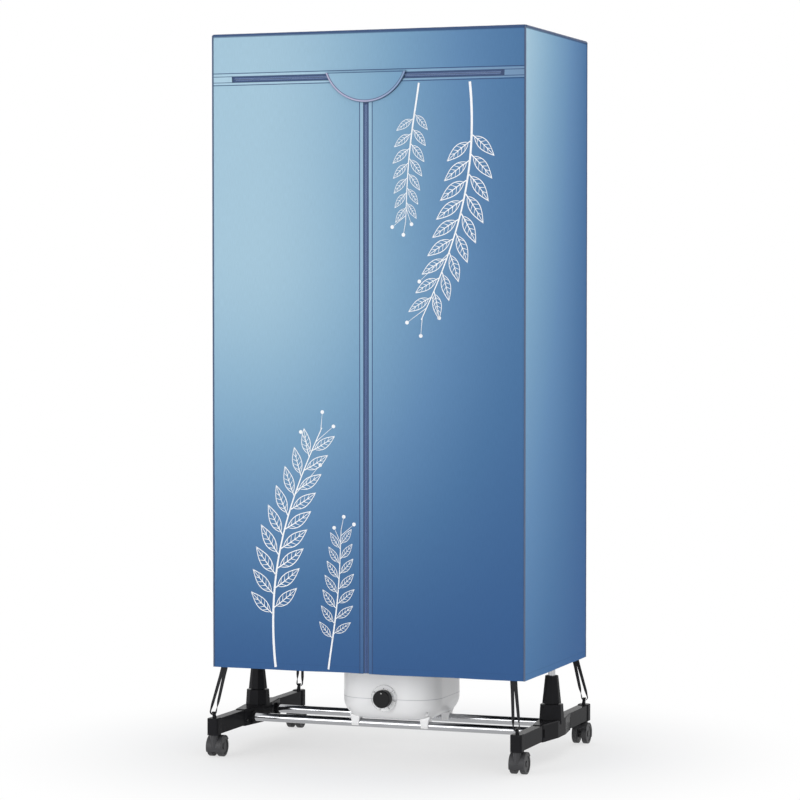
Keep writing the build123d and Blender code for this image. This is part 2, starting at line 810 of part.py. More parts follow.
# Outlet grille: a slotted disc dropped into the hole in the roof
with BuildPart() as heater_outlet_grille:
    rod((0, 0, heater_top - outlet_plug), (0, 0, heater_top), outlet_radius - socket_gap)
    rod((0, 0, heater_top), (0, 0, heater_top + outlet_flange_thickness), outlet_radius + outlet_flange)
    with BuildSketch(Plane.XY.offset(heater_top - outlet_plug)):
        for index in range(outlet_slots):
            slot_y = outlet_slot_pitch * (index - (outlet_slots - 1) / 2)
            slot_far = abs(slot_y) + outlet_slot_width / 2
            half_chord = sqrt((outlet_radius - outlet_rim) ** 2 - slot_far**2)
            with Locations((0, slot_y)):
                SlotOverall(2 * half_chord, outlet_slot_width)
    extrude(amount=outlet_plug + outlet_flange_thickness, mode=Mode.SUBTRACT)
heater_outlet_grille.part.label = "heater_outlet_grille"
export_step(heater_outlet_grille.part, "parts/heater_outlet_grille.step")

# Dial plate: a flat ring on the front of the case, its spigot through the case wall
with BuildPart() as heater_dial_plate:
    rod((0, -heater_face, dial_z), (0, -heater_face - dial_thickness, dial_z), dial_radius)
    rod((0, -heater_face, dial_z), (0, -heater_face + dial_spigot, dial_z), dial_spigot_radius)
    rod(
        (0, -heater_face - dial_thickness, dial_z),
        (0, -heater_face + dial_spigot, dial_z),
        spindle_radius + socket_gap,
        Mode.SUBTRACT,
    )
heater_dial_plate.part.label = "heater_dial_plate"
export_step(heater_dial_plate.part, "parts/heater_dial_plate.step")

# Timer body: a clockwork box behind the dial plate
timer_front = heater_face - dial_spigot
with BuildPart() as timer_body:
    block(
        (-timer_size / 2, timer_size / 2),
        (-timer_front, -timer_front + timer_depth),
        (dial_z - timer_size / 2, dial_z + timer_size / 2),
    )
    rod(
        (0, -timer_front, dial_z),
        (0, -timer_front + timer_bore, dial_z),
        spindle_radius + shaft_gap,
        Mode.SUBTRACT,
    )
timer_body.part.label = "timer_body"
export_step(timer_body.part, "parts/timer_body.step")

# Timer knob: a round knob with a pointer dot, on the timer's spindle
knob_back = heater_face + dial_thickness + knob_gap
with BuildPart() as timer_knob:
    rod((0, -knob_back, dial_z), (0, -knob_back - knob_depth, dial_z), knob_radius)
    fillet(timer_knob.faces().sort_by(Axis.Y)[0].edges(), knob_edge)
    rod(
        (0, -knob_back - knob_depth, dial_z + knob_dot_rise),
        (0, -knob_back - knob_depth + knob_dot_depth, dial_z + knob_dot_rise),
        knob_dot_radius,
        Mode.SUBTRACT,
    )
    rod((0, -knob_back, dial_z), (0, -knob_back + spindle_length, dial_z), spindle_radius)
timer_knob.part.label = "timer_knob"
export_step(timer_knob.part, "parts/timer_knob.step")

# Motor bracket: crossed bars on the four posts of the bowl
with BuildPart() as motor_bracket:
    bar_length = 2 * sqrt(2) * (motor_post_spread + motor_post_radius)
    with BuildSketch(Plane.XY.offset(motor_low - bracket_thickness)):
        Rectangle(bar_length, bracket_bar, rotation=bracket_turn)
        Rectangle(bar_length, bracket_bar, rotation=-bracket_turn)
        Circle(bracket_disc_radius)
    extrude(amount=bracket_thickness)
motor_bracket.part.label = "motor_bracket"
export_step(motor_bracket.part, "parts/motor_bracket.step")

# Fan motor
with BuildPart() as fan_motor:
    rod((0, 0, motor_low), (0, 0, motor_top), motor_radius)
    rod((0, 0, motor_top), (0, 0, motor_top + motor_nose), motor_nose_radius)
    rod(
        (0, 0, motor_top + motor_nose),
        (0, 0, motor_top + motor_nose - motor_bore),
        fan_shaft_radius + shaft_gap,
        Mode.SUBTRACT,
    )
fan_motor.part.label = "fan_motor"
export_step(fan_motor.part, "parts/fan_motor.step")

# Fan rotor: a bladed hub on the motor's shaft
with BuildPart() as fan_rotor:
    rod((0, 0, fan_low), (0, 0, fan_low + fan_hub_height), fan_hub_radius)
    blade_length = sqrt(fan_radius**2 - (fan_blade_chord / 2) ** 2) - fan_hub_radius + fan_blade_root
    with Locations((0, 0, fan_middle)):
        with PolarLocations(fan_hub_radius - fan_blade_root + blade_length / 2, fan_blades):
            Box(blade_length, fan_blade_chord, fan_blade_thickness, rotation=(fan_blade_pitch, 0, 0))
    rod((0, 0, motor_top + motor_nose - motor_bore + stem_end_play), (0, 0, fan_low), fan_shaft_radius)
fan_rotor.part.label = "fan_rotor"
export_step(fan_rotor.part, "parts/fan_rotor.step")

# Fan shroud: a flange held between the shells at their screws, with a round duct above the fan
with BuildPart() as fan_shroud:
    shroud_half = heater_inner - shroud_wall_gap
    shroud_corner = heater_corner - heater_wall - shroud_wall_gap
    with BuildSketch(Plane.XY.offset(flange_low)):
        RectangleRounded(2 * shroud_half, 2 * shroud_half, shroud_corner)
        Circle(shroud_radius, mode=Mode.SUBTRACT)
    extrude(amount=shroud_flange)
    rod((0, 0, flange_high), (0, 0, holder_low), shroud_radius + shroud_wall)
    rod((0, 0, flange_high), (0, 0, holder_low), shroud_radius, Mode.SUBTRACT)
    notch_half = timer_size / 2 + shroud_notch_gap
    notch_back = timer_front - timer_depth - shroud_notch_gap
    block(
        (-notch_half, notch_half),
        (-heater_face, -notch_back),
        (flange_low, flange_high),
        Mode.SUBTRACT,
    )
    rod(
        (0, -heater_face, dial_z),
        (0, -heater_face + dial_spigot + shroud_notch_gap, dial_z),
        dial_spigot_radius + shroud_notch_gap,
        Mode.SUBTRACT,
    )
    for x, y in case_posts:
        rod((x, y, flange_low), (x, y, flange_high), case_screw_radius + socket_gap, Mode.SUBTRACT)
fan_shroud.part.label = "fan_shroud"
export_step(fan_shroud.part, "parts/fan_shroud.step")

# Element holder: a plate on the duct's rim with a window under the element
with BuildPart() as element_holder:
    window_long = element_length - 2 * element_ledge
    window_wide = element_width - 2 * element_ledge
    with BuildSketch(Plane.XY.offset(holder_low)):
        Circle(shroud_radius + shroud_wall + holder_lip)
        Rectangle(window_long, window_wide, mode=Mode.SUBTRACT)
    extrude(amount=holder_thickness)
element_holder.part.label = "element_holder"
export_step(element_holder.part, "parts/element_holder.step")

# Heating element: two rails joined by thin fins
with BuildPart() as heating_element:
    with BuildSketch(Plane.XY.offset(element_low)):
        Rectangle(element_length, element_width)
        fin_pitch = (element_length - 2 * element_rail) / element_fins
        with GridLocations(fin_pitch, 0, element_fins, 1):
            Rectangle(element_fin_gap, element_width - 2 * element_rail, mode=Mode.SUBTRACT)
    extrude(amount=element_height)
heating_element.part.label = "heating_element"
export_step(heating_element.part, "parts/heating_element.step")

# Thermal cut-out: a small sealed switch on the holder beside the element
with BuildPart() as thermal_cutout:
    cutout_y = element_width / 2 + cutout_gap
    block(
        (-cutout_length / 2, cutout_length / 2),
        (cutout_y, cutout_y + cutout_width),
        (element_low, element_low + cutout_height),
    )
thermal_cutout.part.label = "thermal_cutout"
export_step(thermal_cutout.part, "parts/thermal_cutout.step")

# Cord gland: a flanged bush in the back wall of the case
with BuildPart() as cord_gland:
    rod((0, heater_face, gland_z), (0, heater_face + gland_flange, gland_z), gland_flange_radius)
    rod((0, heater_face, gland_z), (0, heater_face - gland_barrel_length, gland_z), gland_barrel_radius)
    rod(
        (0, heater_face + gland_flange, gland_z),
        (0, heater_face - gland_barrel_length, gland_z),
        gland_bore_radius,
        Mode.SUBTRACT,
    )
cord_gland.part.label = "cord_gland"
export_step(cord_gland.part, "parts/cord_gland.step")

# Cover panels: flat cloth, taut between the piped edges
with BuildPart() as cover_top:
    with BuildSketch(Plane.XY.offset(top_low)):
        RectangleRounded(2 * panel_x, 2 * panel_y, piping_corner - panel_trim)
    extrude(amount=cloth)
cover_top.part.label = "cover_top"
export_step(cover_top.part, "parts/cover_top.step")

with BuildPart() as cover_back:
    block((-panel_x, panel_x), (front_inner, half_depth), (hem_height, panel_top))
cover_back.part.label = "cover_back"
export_step(cover_back.part, "parts/cover_back.step")

with BuildPart() as cover_side_right:
    block((side_inner, half_width), (-panel_y, panel_y), (hem_height, panel_top))
    block((fold_x + fold_gap, panel_x), (-half_depth, -front_inner), (hem_height, header_low))
cover_side_right.part.label = "cover_side_right"
export_step(cover_side_right.part, "parts/cover_side_right.step")

with BuildPart() as cover_side_left:
    mirror(cover_side_right.part, about=Plane.YZ)
cover_side_left.part.label = "cover_side_left"
export_step(cover_side_left.part, "parts/cover_side_left.step")

with BuildPart() as cover_header:
    block((-panel_x, panel_x), (-half_depth, -front_inner), (header_low, panel_top))
cover_header.part.label = "cover_header"
export_step(cover_header.part, "parts/cover_header.step")

# Piping: a round cord round the top edge, and one down each corner edge
with BuildPart() as cover_piping:
    with BuildLine(Plane.XY.offset(piping_z)) as top_edge:
        FilletPolyline(
            (-piping_x, -piping_y),
            (piping_x, -piping_y),
            (piping_x, piping_y),
            (-piping_x, piping_y),
            close=True,
            radius=piping_corner,
        )
    with BuildSketch(Plane(origin=(0, -piping_y, piping_z), z_dir=(1, 0, 0))):
        Circle(piping_radius)
    sweep(path=top_edge.wire())
    for x in (-piping_x, piping_x):
        for y in (-piping_y, piping_y):
            rod((x, y, hem_height), (x, y, panel_top), piping_radius)
cover_piping.part.label = "cover_piping"
export_step(cover_piping.part, "parts/cover_piping.step")

# Doors: cloth panels between the fold beside each corner and the zips, cut away round the flap
with BuildPart() as door_right:
    block((zip_band / 2, fold_x - fold_gap), (-half_depth, -front_inner), (hem_height, door_top))
    rod((0, -front_inner, flap_centre_z), (0, -half_depth, flap_centre_z), cutout_radius, Mode.SUBTRACT)
door_right.part.label = "door_right"
export_step(door_right.part, "parts/door_right.step")

with BuildPart() as door_left:
    mirror(door_right.part, about=Plane.YZ)
door_left.part.label = "door_left"
export_step(door_left.part, "parts/door_left.step")

# Zip tapes with their chains: behind the folded cloth edges of the header and of both doors
chain_near = chain_gap / 2
with BuildPart() as zip_tape_header:
    zip_run = (-zip_end_x, zip_end_x)
    chain_low = zip_z + chain_near
    block(zip_run, (-tape_outer, -tape_inner), (chain_low, chain_low + tape_width))
    block(zip_run, (-chain_outer, -chain_inner), (chain_low, chain_low + chain_width))
zip_tape_header.part.label = "zip_tape_header"
export_step(zip_tape_header.part, "parts/zip_tape_header.step")

with BuildPart() as zip_tape_right:
    tape_low = hem_height + tape_lift
    tape_top = zip_z - chain_near
    block((chain_near, chain_near + tape_width), (-tape_outer, -tape_inner), (tape_low, tape_top))
    block((chain_near, chain_near + chain_width), (-chain_outer, -chain_inner), (tape_low, tape_top))
    block((chain_near, zip_end_x), (-tape_outer, -tape_inner), (tape_top - tape_width, tape_top))
    block((chain_near, zip_end_x), (-chain_outer, -chain_inner), (tape_top - chain_width, tape_top))
    rod(
        (0, -chain_inner, flap_centre_z),
        (0, -chain_outer, flap_centre_z),
        cutout_radius,
        Mode.SUBTRACT,
    )
zip_tape_right.part.label = "zip_tape_right"
export_step(zip_tape_right.part, "parts/zip_tape_right.step")

with BuildPart() as zip_tape_left:
    mirror(zip_tape_right.part, about=Plane.YZ)
zip_tape_left.part.label = "zip_tape_left"
export_step(zip_tape_left.part, "parts/zip_tape_left.step")

# Flap: a half moon of cloth that hangs from a rolled edge on the header
with BuildPart() as zip_flap:
    with BuildSketch(Plane.XZ.offset(flap_inner)):
        with Locations((0, flap_centre_z)):
            Circle(flap_rim_radius)
        with Locations((0, flap_top + flap_rim_radius)):
            Rectangle(2 * flap_rim_radius, 2 * flap_rim_radius, mode=Mode.SUBTRACT)
    extrude(amount=cloth)
    rod((-flap_width / 2, -flap_axis_y, flap_top), (flap_width / 2, -flap_axis_y, flap_top), flap_roll)
zip_flap.part.label = "zip_flap"
export_step(zip_flap.part, "parts/zip_flap.step")

# Zip guard: a patch hemmed to the inside of the header, behind the parked sliders
with BuildPart() as zip_guard:
    guard_high = header_low + guard_rise
    guard_low = header_low - guard_drop
    guard_run = (-guard_width / 2, guard_width / 2)
    block(guard_run, (-guard_outer, -guard_outer + guard_cloth), (guard_low, guard_high))
    block(guard_run, (-front_inner, -guard_outer), (guard_high - guard_hem, guard_high))
zip_guard.part.label = "zip_guard"
export_step(zip_guard.part, "parts/zip_guard.step")

# Zip slider: two plates joined by a thin web between the chains, with a rivet for the pull
with BuildPart() as slider_shape:
    half_slider = (-slider_width / 2, slider_width / 2)
    slider_reach = (-slider_length / 2, slider_length / 2)
    block(half_slider, (-slider_front, -slider_front + slider_plate), slider_reach)
    block(half_slider, (-slider_back - slider_plate, -slider_back), slider_reach)
    block((-slider_web / 2, slider_web / 2), (-slider_front, -slider_back), slider_reach)
    rod((0, -slider_front, 0), (0, -rivet_tip, 0), rivet_radius)
    rod((0, -rivet_tip + rivet_head, 0), (0, -rivet_tip, 0), rivet_head_radius)

# Pull: a flat tab that hangs from the rivet
with BuildPart() as pull_shape:
    with BuildSketch(Plane.XZ.offset(pull_inner)):
        with Locations((0, -pull_length / 2)):
            SlotOverall(pull_length + pull_width, pull_width, rotation=90)
        Circle(rivet_radius + socket_gap, mode=Mode.SUBTRACT)
    extrude(amount=pull_thickness)

slider_places = (
    ("centre", 0, zip_z - centre_slider_drop, 0),
    ("left", -side_slider_x, zip_z, 90),
    ("right", side_slider_x, zip_z, 90),
)
for place, x, z, turn in slider_places:
    with BuildPart() as zip_slider:
        with Locations(Location((x, 0, z), (0, turn, 0))):
            add(slider_shape.part)
    zip_slider.part.label = f"zip_slider_{place}"
    export_step(zip_slider.part, f"parts/zip_slider_{place}.step")
    with BuildPart() as zip_pull:
        with Locations((x, 0, z)):
            add(pull_shape.part)
    zip_pull.part.label = f"zip_pull_{place}"
    export_step(zip_pull.part, f"parts/zip_pull_{place}.step")

# Elastic straps: a loop from inside the hem at each corner, under the nose of the hook on the arm
strap_top_y = -front_inner + strap_thickness / 2
strap_end_y = -stem_y - hook_neck - soft_gap - strap_thickness / 2
strap_top = Vector(upright_x - strap_lean, strap_top_y, hem_height - strap_drop)
strap_end = Vector(upright_x, strap_end_y, foot_top + strap_rise)
strap_run = (strap_end - strap_top).normalized()
strap_face = Vector(1, 0, 0).cross(strap_run).normalized()
strap_plane = Plane(origin=strap_top, x_dir=strap_run.cross(strap_face), z_dir=strap_face)
loop_half = hook_width / 2 + strap_side_gap
loop_centre = (strap_end - strap_top).length - loop_half
with BuildPart() as strap_shape:
    with BuildSketch(strap_plane):
        Polygon(
            (-strap_width / 2, 0),
            (strap_width / 2, 0),
            (loop_half + strap_leg, loop_centre),
            (-loop_half - strap_leg, loop_centre),
            align=None,
        )
        with Locations((0, loop_centre)):
            Circle(loop_half + strap_leg)
            Circle(loop_half, mode=Mode.SUBTRACT)
        Polygon(
            (0, strap_join),
            (loop_half, loop_centre),
            (-loop_half, loop_centre),
            align=None,
            mode=Mode.SUBTRACT,
        )
    extrude(amount=strap_thickness / 2, both=True)
    block(
        (strap_top.X - strap_width / 2, strap_top.X + strap_width / 2),
        (-front_inner, -front_inner + strap_thickness),
        (strap_top.Z - strap_thickness, hem_height + strap_tab),
    )

with BuildPart() as cover_straps:
    add(strap_shape.part)
    mirror(strap_shape.part, about=Plane.YZ)
    mirror(cover_straps.part, about=Plane.XZ)
cover_straps.part.label = "cover_straps"
export_step(cover_straps.part, "parts/cover_straps.step")
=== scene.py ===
from collections import namedtuple
from math import atan2, cos, exp, pi, radians, sin, sqrt

import bpy
from mathutils import Matrix, Vector, noise


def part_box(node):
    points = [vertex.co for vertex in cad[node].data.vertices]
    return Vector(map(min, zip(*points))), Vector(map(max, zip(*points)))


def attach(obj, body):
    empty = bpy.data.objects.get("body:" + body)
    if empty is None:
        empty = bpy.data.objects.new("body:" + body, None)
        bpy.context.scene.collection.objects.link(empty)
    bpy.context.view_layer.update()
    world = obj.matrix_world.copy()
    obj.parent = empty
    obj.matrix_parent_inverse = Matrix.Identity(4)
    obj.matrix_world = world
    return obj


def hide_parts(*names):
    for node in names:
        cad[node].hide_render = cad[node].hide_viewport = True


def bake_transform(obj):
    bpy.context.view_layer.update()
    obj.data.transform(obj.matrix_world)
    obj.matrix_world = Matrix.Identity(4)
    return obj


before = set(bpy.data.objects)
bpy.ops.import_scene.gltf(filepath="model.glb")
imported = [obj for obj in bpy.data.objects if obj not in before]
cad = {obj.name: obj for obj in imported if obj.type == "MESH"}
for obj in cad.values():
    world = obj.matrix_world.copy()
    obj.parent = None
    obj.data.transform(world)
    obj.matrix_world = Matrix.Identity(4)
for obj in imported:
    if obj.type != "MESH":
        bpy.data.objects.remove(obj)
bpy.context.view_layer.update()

# Feet: on each side a moulded hub carries the upright and the floor tubes, and two arms snap into its
# ends. Black filled plastic straight from the mould, satin, with a fine grain that scatters highlights.
# The tongues of the arms carry painted shadow where they show in the windows of the hub.
foot_shades = ((33, 33, 35), (43, 43, 45))
foot_gloss = (0.13, 0.2)
foot_relief = (0.35, 0.00004)
foot_fixed = {"Specular IOR Level": 0.012}
tongue_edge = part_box("foot_hub_right")[1][1] - 0.0008
tongue_blur = 0.0005


def screen(red, green, blue):
    """A colour as it looks on a screen, 0 to 255, as the linear colour that a shader takes."""
    parts = [value / 255 for value in (red, green, blue)]
    linear = [part / 12.92 if part <= 0.04045 else ((part + 0.055) / 1.055) ** 2.4 for part in parts]
    return (*linear, 1.0)


def place_node(tree, kind, inputs=None, **settings):
    """Adds a shader node, sets it up, and links or sets its inputs."""
    made = tree.nodes.new("ShaderNode" + kind)
    for name, value in settings.items():
        setattr(made, name, value)
    for socket, value in (inputs or {}).items():
        if isinstance(value, bpy.types.NodeSocket):
            tree.links.new(value, made.inputs[socket])
        else:
            made.inputs[socket].default_value = value
    return made


def combine(tree, operation, first, second=0.0):
    """One step of arithmetic on two values."""
    return place_node(tree, "Math", {0: first, 1: second}, operation=operation).outputs[0]


def distance(tree, value, middle=0.0):
    """How far a value is from the middle."""
    return combine(tree, "ABSOLUTE", combine(tree, "SUBTRACT", value, middle))


def ranged(tree, value, low, high, to_low=0.0, to_high=1.0, ease="SMOOTHSTEP"):
    """A value brought from one range to another."""
    limits = {"Value": value, "From Min": low, "From Max": high, "To Min": to_low, "To Max": to_high}
    return place_node(tree, "MapRange", limits, interpolation_type=ease).outputs["Result"]


def blended(tree, factor, first, second, way="MIX"):
    """Two colours mixed by a factor, each one a socket or the colour that it has on a screen."""
    colours = [screen(*colour) if isinstance(colour, tuple) else colour for colour in (first, second)]
    inputs = {"Factor": factor, "A": colours[0], "B": colours[1]}
    return place_node(tree, "Mix", inputs, data_type="RGBA", blend_type=way).outputs["Result"]


def object_place(tree):
    """A piece's own coordinates, in metres."""
    return place_node(tree, "TexCoord").outputs["Object"]


def split(tree, place):
    """The coordinates of a place one by one."""
    return place_node(tree, "SeparateXYZ", {"Vector": place}).outputs


def noisy(tree, place, scale, detail):
    """Smooth noise at a place."""
    return place_node(tree, "TexNoise", {"Vector": place, "Scale": scale, "Detail": detail}).outputs["Fac"]


def new_group(name, inputs, outputs):
    """An empty shader node group with float inputs and named outputs."""
    group = bpy.data.node_groups.new(name, "ShaderNodeTree")
    for socket, value in inputs.items():
        made = group.interface.new_socket(socket, in_out="INPUT", socket_type="NodeSocketFloat")
        made.default_value = value
    for socket, kind in outputs.items():
        group.interface.new_socket(socket, in_out="OUTPUT", socket_type="NodeSocket" + kind)
    return group, group.nodes.new("NodeGroupInput").outputs, group.nodes.new("NodeGroupOutput").inputs


def use_group(tree, group, **inputs):
    """Places a node group in a material, with its own values."""
    return place_node(tree, "Group", inputs, node_tree=group).outputs


def new_material(name, fixed):
    """A material whose Principled shader has these fixed values."""
    made = bpy.data.materials.new(name)
    made.use_nodes = True
    for socket, value in fixed.items():
        made.node_tree.nodes["Principled BSDF"].inputs[socket].default_value = value
    return made, made.node_tree


def dress(tree, colour, gloss, height=None, relief=None):
    """Links a finish to its shader. relief is the strength and depth of the bump that height makes."""
    inputs = tree.nodes["Principled BSDF"].inputs
    tree.links.new(colour, inputs["Base Color"])
    tree.links.new(gloss, inputs["Roughness"])
    if relief:
        bump = place_node(tree, "Bump", {"Height": height, "Strength": relief[0], "Distance": relief[1]})
        tree.links.new(bump.outputs["Normal"], inputs["Normal"])


def tinted(material, mask, tint):
    """Lays one more colour over a finish, where the mask that mask(tree) makes is one."""
    tree = material.node_tree
    colour = tree.nodes["Principled BSDF"].inputs["Base Color"]
    tree.links.new(blended(tree, mask(tree), colour.links[0].from_socket, tint), colour)


grain_group, grain_in, grain_out = new_group(
    "moulded_grain", {"Grain": 1400.0, "Patches": 9.0}, {"Height": "Float", "Patch": "Float"}
)
grain_place = object_place(grain_group)
grain_group.links.new(noisy(grain_group, grain_place, grain_in["Grain"], 2.0), grain_out["Height"])
grain_group.links.new(noisy(grain_group, grain_place, grain_in["Patches"], 4.0), grain_out["Patch"])


def grained(name, shades, gloss, relief, fixed, shade_from=None, gloss_from=(0.3, 0.7), ease="LINEAR",
            **sizes):
    """A finish in two close shades, in soft patches, with uneven gloss and a fine grain.

    shade_from and gloss_from are the parts of the patches that the shades and the gloss spread over."""
    made, tree = new_material(name, fixed)
    grain = use_group(tree, grain_group, **sizes)
    tone = ranged(tree, grain["Patch"], *shade_from, ease="LINEAR") if shade_from else grain["Patch"]
    colour = blended(tree, tone, *shades)
    dress(tree, colour, ranged(tree, grain["Patch"], *gloss_from, *gloss, ease), grain["Height"], relief)
    return made


def finish_in(material, *names):
    """Gives CAD pieces, by the start of their names, a material."""
    for name, piece in cad.items():
        if name.startswith(names):
            for slot in piece.material_slots:
                slot.material = material


def tongue_shadow_mask(tree):
    """The part of an arm that is inside the hub, darkened by painted shadow."""
    away = distance(tree, split(tree, object_place(tree))["Y"])
    return ranged(tree, away, tongue_edge - tongue_blur, tongue_edge, 1.0, 0.0, "LINEAR")


black_moulding = grained("black_moulding", foot_shades, foot_gloss, foot_relief, foot_fixed)
arm_moulding = grained("arm_moulding", foot_shades, foot_gloss, foot_relief, foot_fixed)
# Painted shadow on the tongues, in the windows of the hub.
tinted(arm_moulding, tongue_shadow_mask, (7, 7, 8))
finish_in(black_moulding, "foot_hub", "upright_collars", "top_brackets")
finish_in(arm_moulding, "foot_arm")

# Screws: one pan head screw through the inner wall of each hub at each arm, and four under the heater.
# Bright zinc plated steel with a slightly mottled passivation.
zinc = grained(
    "zinc_plate", ((150, 150, 148), (196, 197, 200)), (0.22, 0.42), None, {"Metallic": 1.0},
    gloss_from=(0.0, 1.0), Grain=500.0, Patches=60.0,
)
finish_in(zinc, "arm_screws", "heater_screws", "motor_bracket", "fan_motor")

# Casters: a hooded fork on a swivel stem, with two plastic wheels on one axle. Dark grey nylon, the
# treads dulled and scuffed by the floor.
nylon_fixed = {"Specular IOR Level": 0.25}
scuffed = (0.35, 0.75)
caster_nylon = grained(
    "caster_nylon", ((55, 55, 57), (71, 71, 73)), (0.38, 0.52), (0.35, 0.0003), nylon_fixed
)
wheel_nylon = grained(
    "wheel_nylon", ((55, 55, 57), (80, 80, 81)), (0.4, 0.62), (0.4, 0.0003), nylon_fixed,
    shade_from=scuffed, gloss_from=scuffed, Grain=900.0, Patches=70.0,
)
finish_in(caster_nylon, "caster_fork")
finish_in(wheel_nylon, "caster_wheels")

# Tubes and rods: two floor tubes, the uprights in two lengths each, and the hanging rods under the
# cover's top. Thin steel tube, chromed, with a faint unevenness and a little haze.
chrome, chrome_tree = new_material("tube_chrome", {"Metallic": 1.0})
chrome_marks = noisy(chrome_tree, object_place(chrome_tree), 24.0, 2.0)
chrome_haze = noisy(chrome_tree, object_place(chrome_tree), 11.0, 5.0)
chrome_shade = blended(chrome_tree, chrome_haze, (172, 173, 176), (192, 193, 196))
chrome_gloss = ranged(chrome_tree, chrome_haze, 0.3, 0.7, 0.10, 0.18, "LINEAR")
dress(chrome_tree, chrome_shade, chrome_gloss, chrome_marks, (0.04, 0.0004))
finish_in(chrome, "floor_tube", "upright_lower", "upright_upper", "hanging_rods")

# Heater case: a bowl and a taller lid screwed together, with a slotted outlet and a dial plate. Glossy
# white plastic with the shadow line of the joint between the shells.
heater_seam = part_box("heater_upper_shell")[0][2]
heater_line = (0.0004, 0.0009)


def seam_mask(tree):
    """The joint between the two shells."""
    away = distance(tree, split(tree, object_place(tree))["Z"], heater_seam)
    return ranged(tree, away, *heater_line, 1.0, 0.0, "LINEAR")


heater_white = grained(
    "heater_white", ((249, 249, 250), (253, 253, 253)), (0.28, 0.4), (0.06, 0.0004),
    {"Specular IOR Level": 0.5, "Coat Weight": 0.25, "Coat Roughness": 0.12},
    gloss_from=(0.0, 1.0), Grain=260.0, Patches=7.0,
)
tinted(heater_white, seam_mask, (204, 205, 208))
finish_in(
    heater_white, "heater_lower_shell", "heater_upper_shell", "heater_outlet_grille", "heater_dial_plate"
)

# Tube clips: four hooks that snap over the floor tubes and carry the heater, two to a tube. The same
# white plastic, flared where they meet the bowl and well rounded on every edge.
clip_voxel = 0.0009
clip_rounding = 12
clip_flare = 0.6
clip_half = 0.009
clip_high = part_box("heater_tube_clips")[1]
clip_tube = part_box("floor_tube_front")
clip_level = (clip_tube[0][2] + clip_tube[1][2]) / 2
clip_place = clip_high[0] - clip_half
weld_gap = 0.00001


def deselect():
    """Goes to object mode with nothing selected."""
    if bpy.context.object and bpy.context.object.mode != "OBJECT":
        bpy.ops.object.mode_set(mode="OBJECT")
    bpy.ops.object.select_all(action="DESELECT")


def edit_all(piece, *steps):
    """Runs edit mode steps on the whole of a piece."""
    deselect()
    piece.select_set(True)
    bpy.context.view_layer.objects.active = piece
    bpy.ops.object.mode_set(mode="EDIT")
    bpy.ops.mesh.select_all(action="SELECT")
    for step in steps:
        step()
    bpy.ops.object.mode_set(mode="OBJECT")


def weld():
    """Merges the doubles of what is selected."""
    bpy.ops.mesh.remove_doubles(threshold=weld_gap)


def settle(name, material=None):
    """Names the active piece, puts its place into its mesh, and gives it a material."""
    piece = bpy.context.object
    piece.name = name
    piece.data.name = name
    bpy.ops.object.transform_apply(location=True, rotation=True, scale=True)
    if material:
        piece.data.materials.clear()
        piece.data.materials.append(material)
    return piece


def apply_modifier(piece, kind, **settings):
    """Adds a modifier to a piece and applies it."""
    bpy.context.view_layer.objects.active = piece
    made = piece.modifiers.new(kind.lower(), kind)
    for name, value in settings.items():
        setattr(made, name, value)
    bpy.ops.object.modifier_apply(modifier=made.name)


def new_object(name, data):
    """A new object with this data, in the scene."""
    piece = bpy.data.objects.new(name, data)
    bpy.context.scene.collection.objects.link(piece)
    return piece


def clamp(value):
    """A value held between nought and one."""
    return min(1.0, max(0.0, value))


def fit(piece, slot, body, *nodes):
    """Rides a piece on its body, in place of CAD nodes. The slot argument is not used."""
    if body:
        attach(piece, body)
    if nodes:
        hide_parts(*nodes)


tube_clips = new_object("tube_clips", cad["heater_tube_clips"].data.copy())
edit_all(tube_clips, weld)
apply_modifier(tube_clips, "REMESH", mode="VOXEL", voxel_size=clip_voxel)
apply_modifier(tube_clips, "SMOOTH", factor=0.5, iterations=clip_rounding)
for vertex in tube_clips.data.vertices:
    rise = clamp((vertex.co.z - clip_level) / (clip_high[2] - clip_level))
    middle = clip_place if vertex.co.x > 0 else -clip_place
    vertex.co.x = middle + (vertex.co.x - middle) * (1 + clip_flare * rise * rise)
settle("tube_clips", heater_white)
bpy.ops.object.shade_smooth()
fit(tube_clips, "white_plastic", "frame", "heater_tube_clips")

# Inside the heater: timer, fan, duct, element and thermal switch, out of sight behind the slots. Pale
# heat resistant plastic, with a bare aluminium element and a black fan.
inner_plastic = grained(
    "heat_resistant_plastic", ((196, 192, 182), (214, 211, 203)), (0.45, 0.6), (0.35, 0.0003),
    {"Specular IOR Level": 0.4},
)
fin_metal = grained(
    "element_aluminium", ((166, 166, 168), (196, 197, 198)), (0.3, 0.5), None, {"Metallic": 1.0},
    gloss_from=(0.0, 1.0), Grain=700.0, Patches=40.0,
)
finish_in(inner_plastic, "timer_body", "fan_shroud", "element_holder", "thermal_cutout")
finish_in(black_moulding, "fan_rotor")
finish_in(fin_metal, "heating_element")

# Cord gland: a flanged bush pressed into the back wall of the heater. Soft black rubber, dull, with a
# matt bloom.
gland_rubber = grained(
    "gland_rubber", ((24, 24, 24), (40, 40, 41)), (0.6, 0.78), (0.35, 0.0004), {"Specular IOR Level": 0.35}
)
finish_in(gland_rubber, "cord_gland")

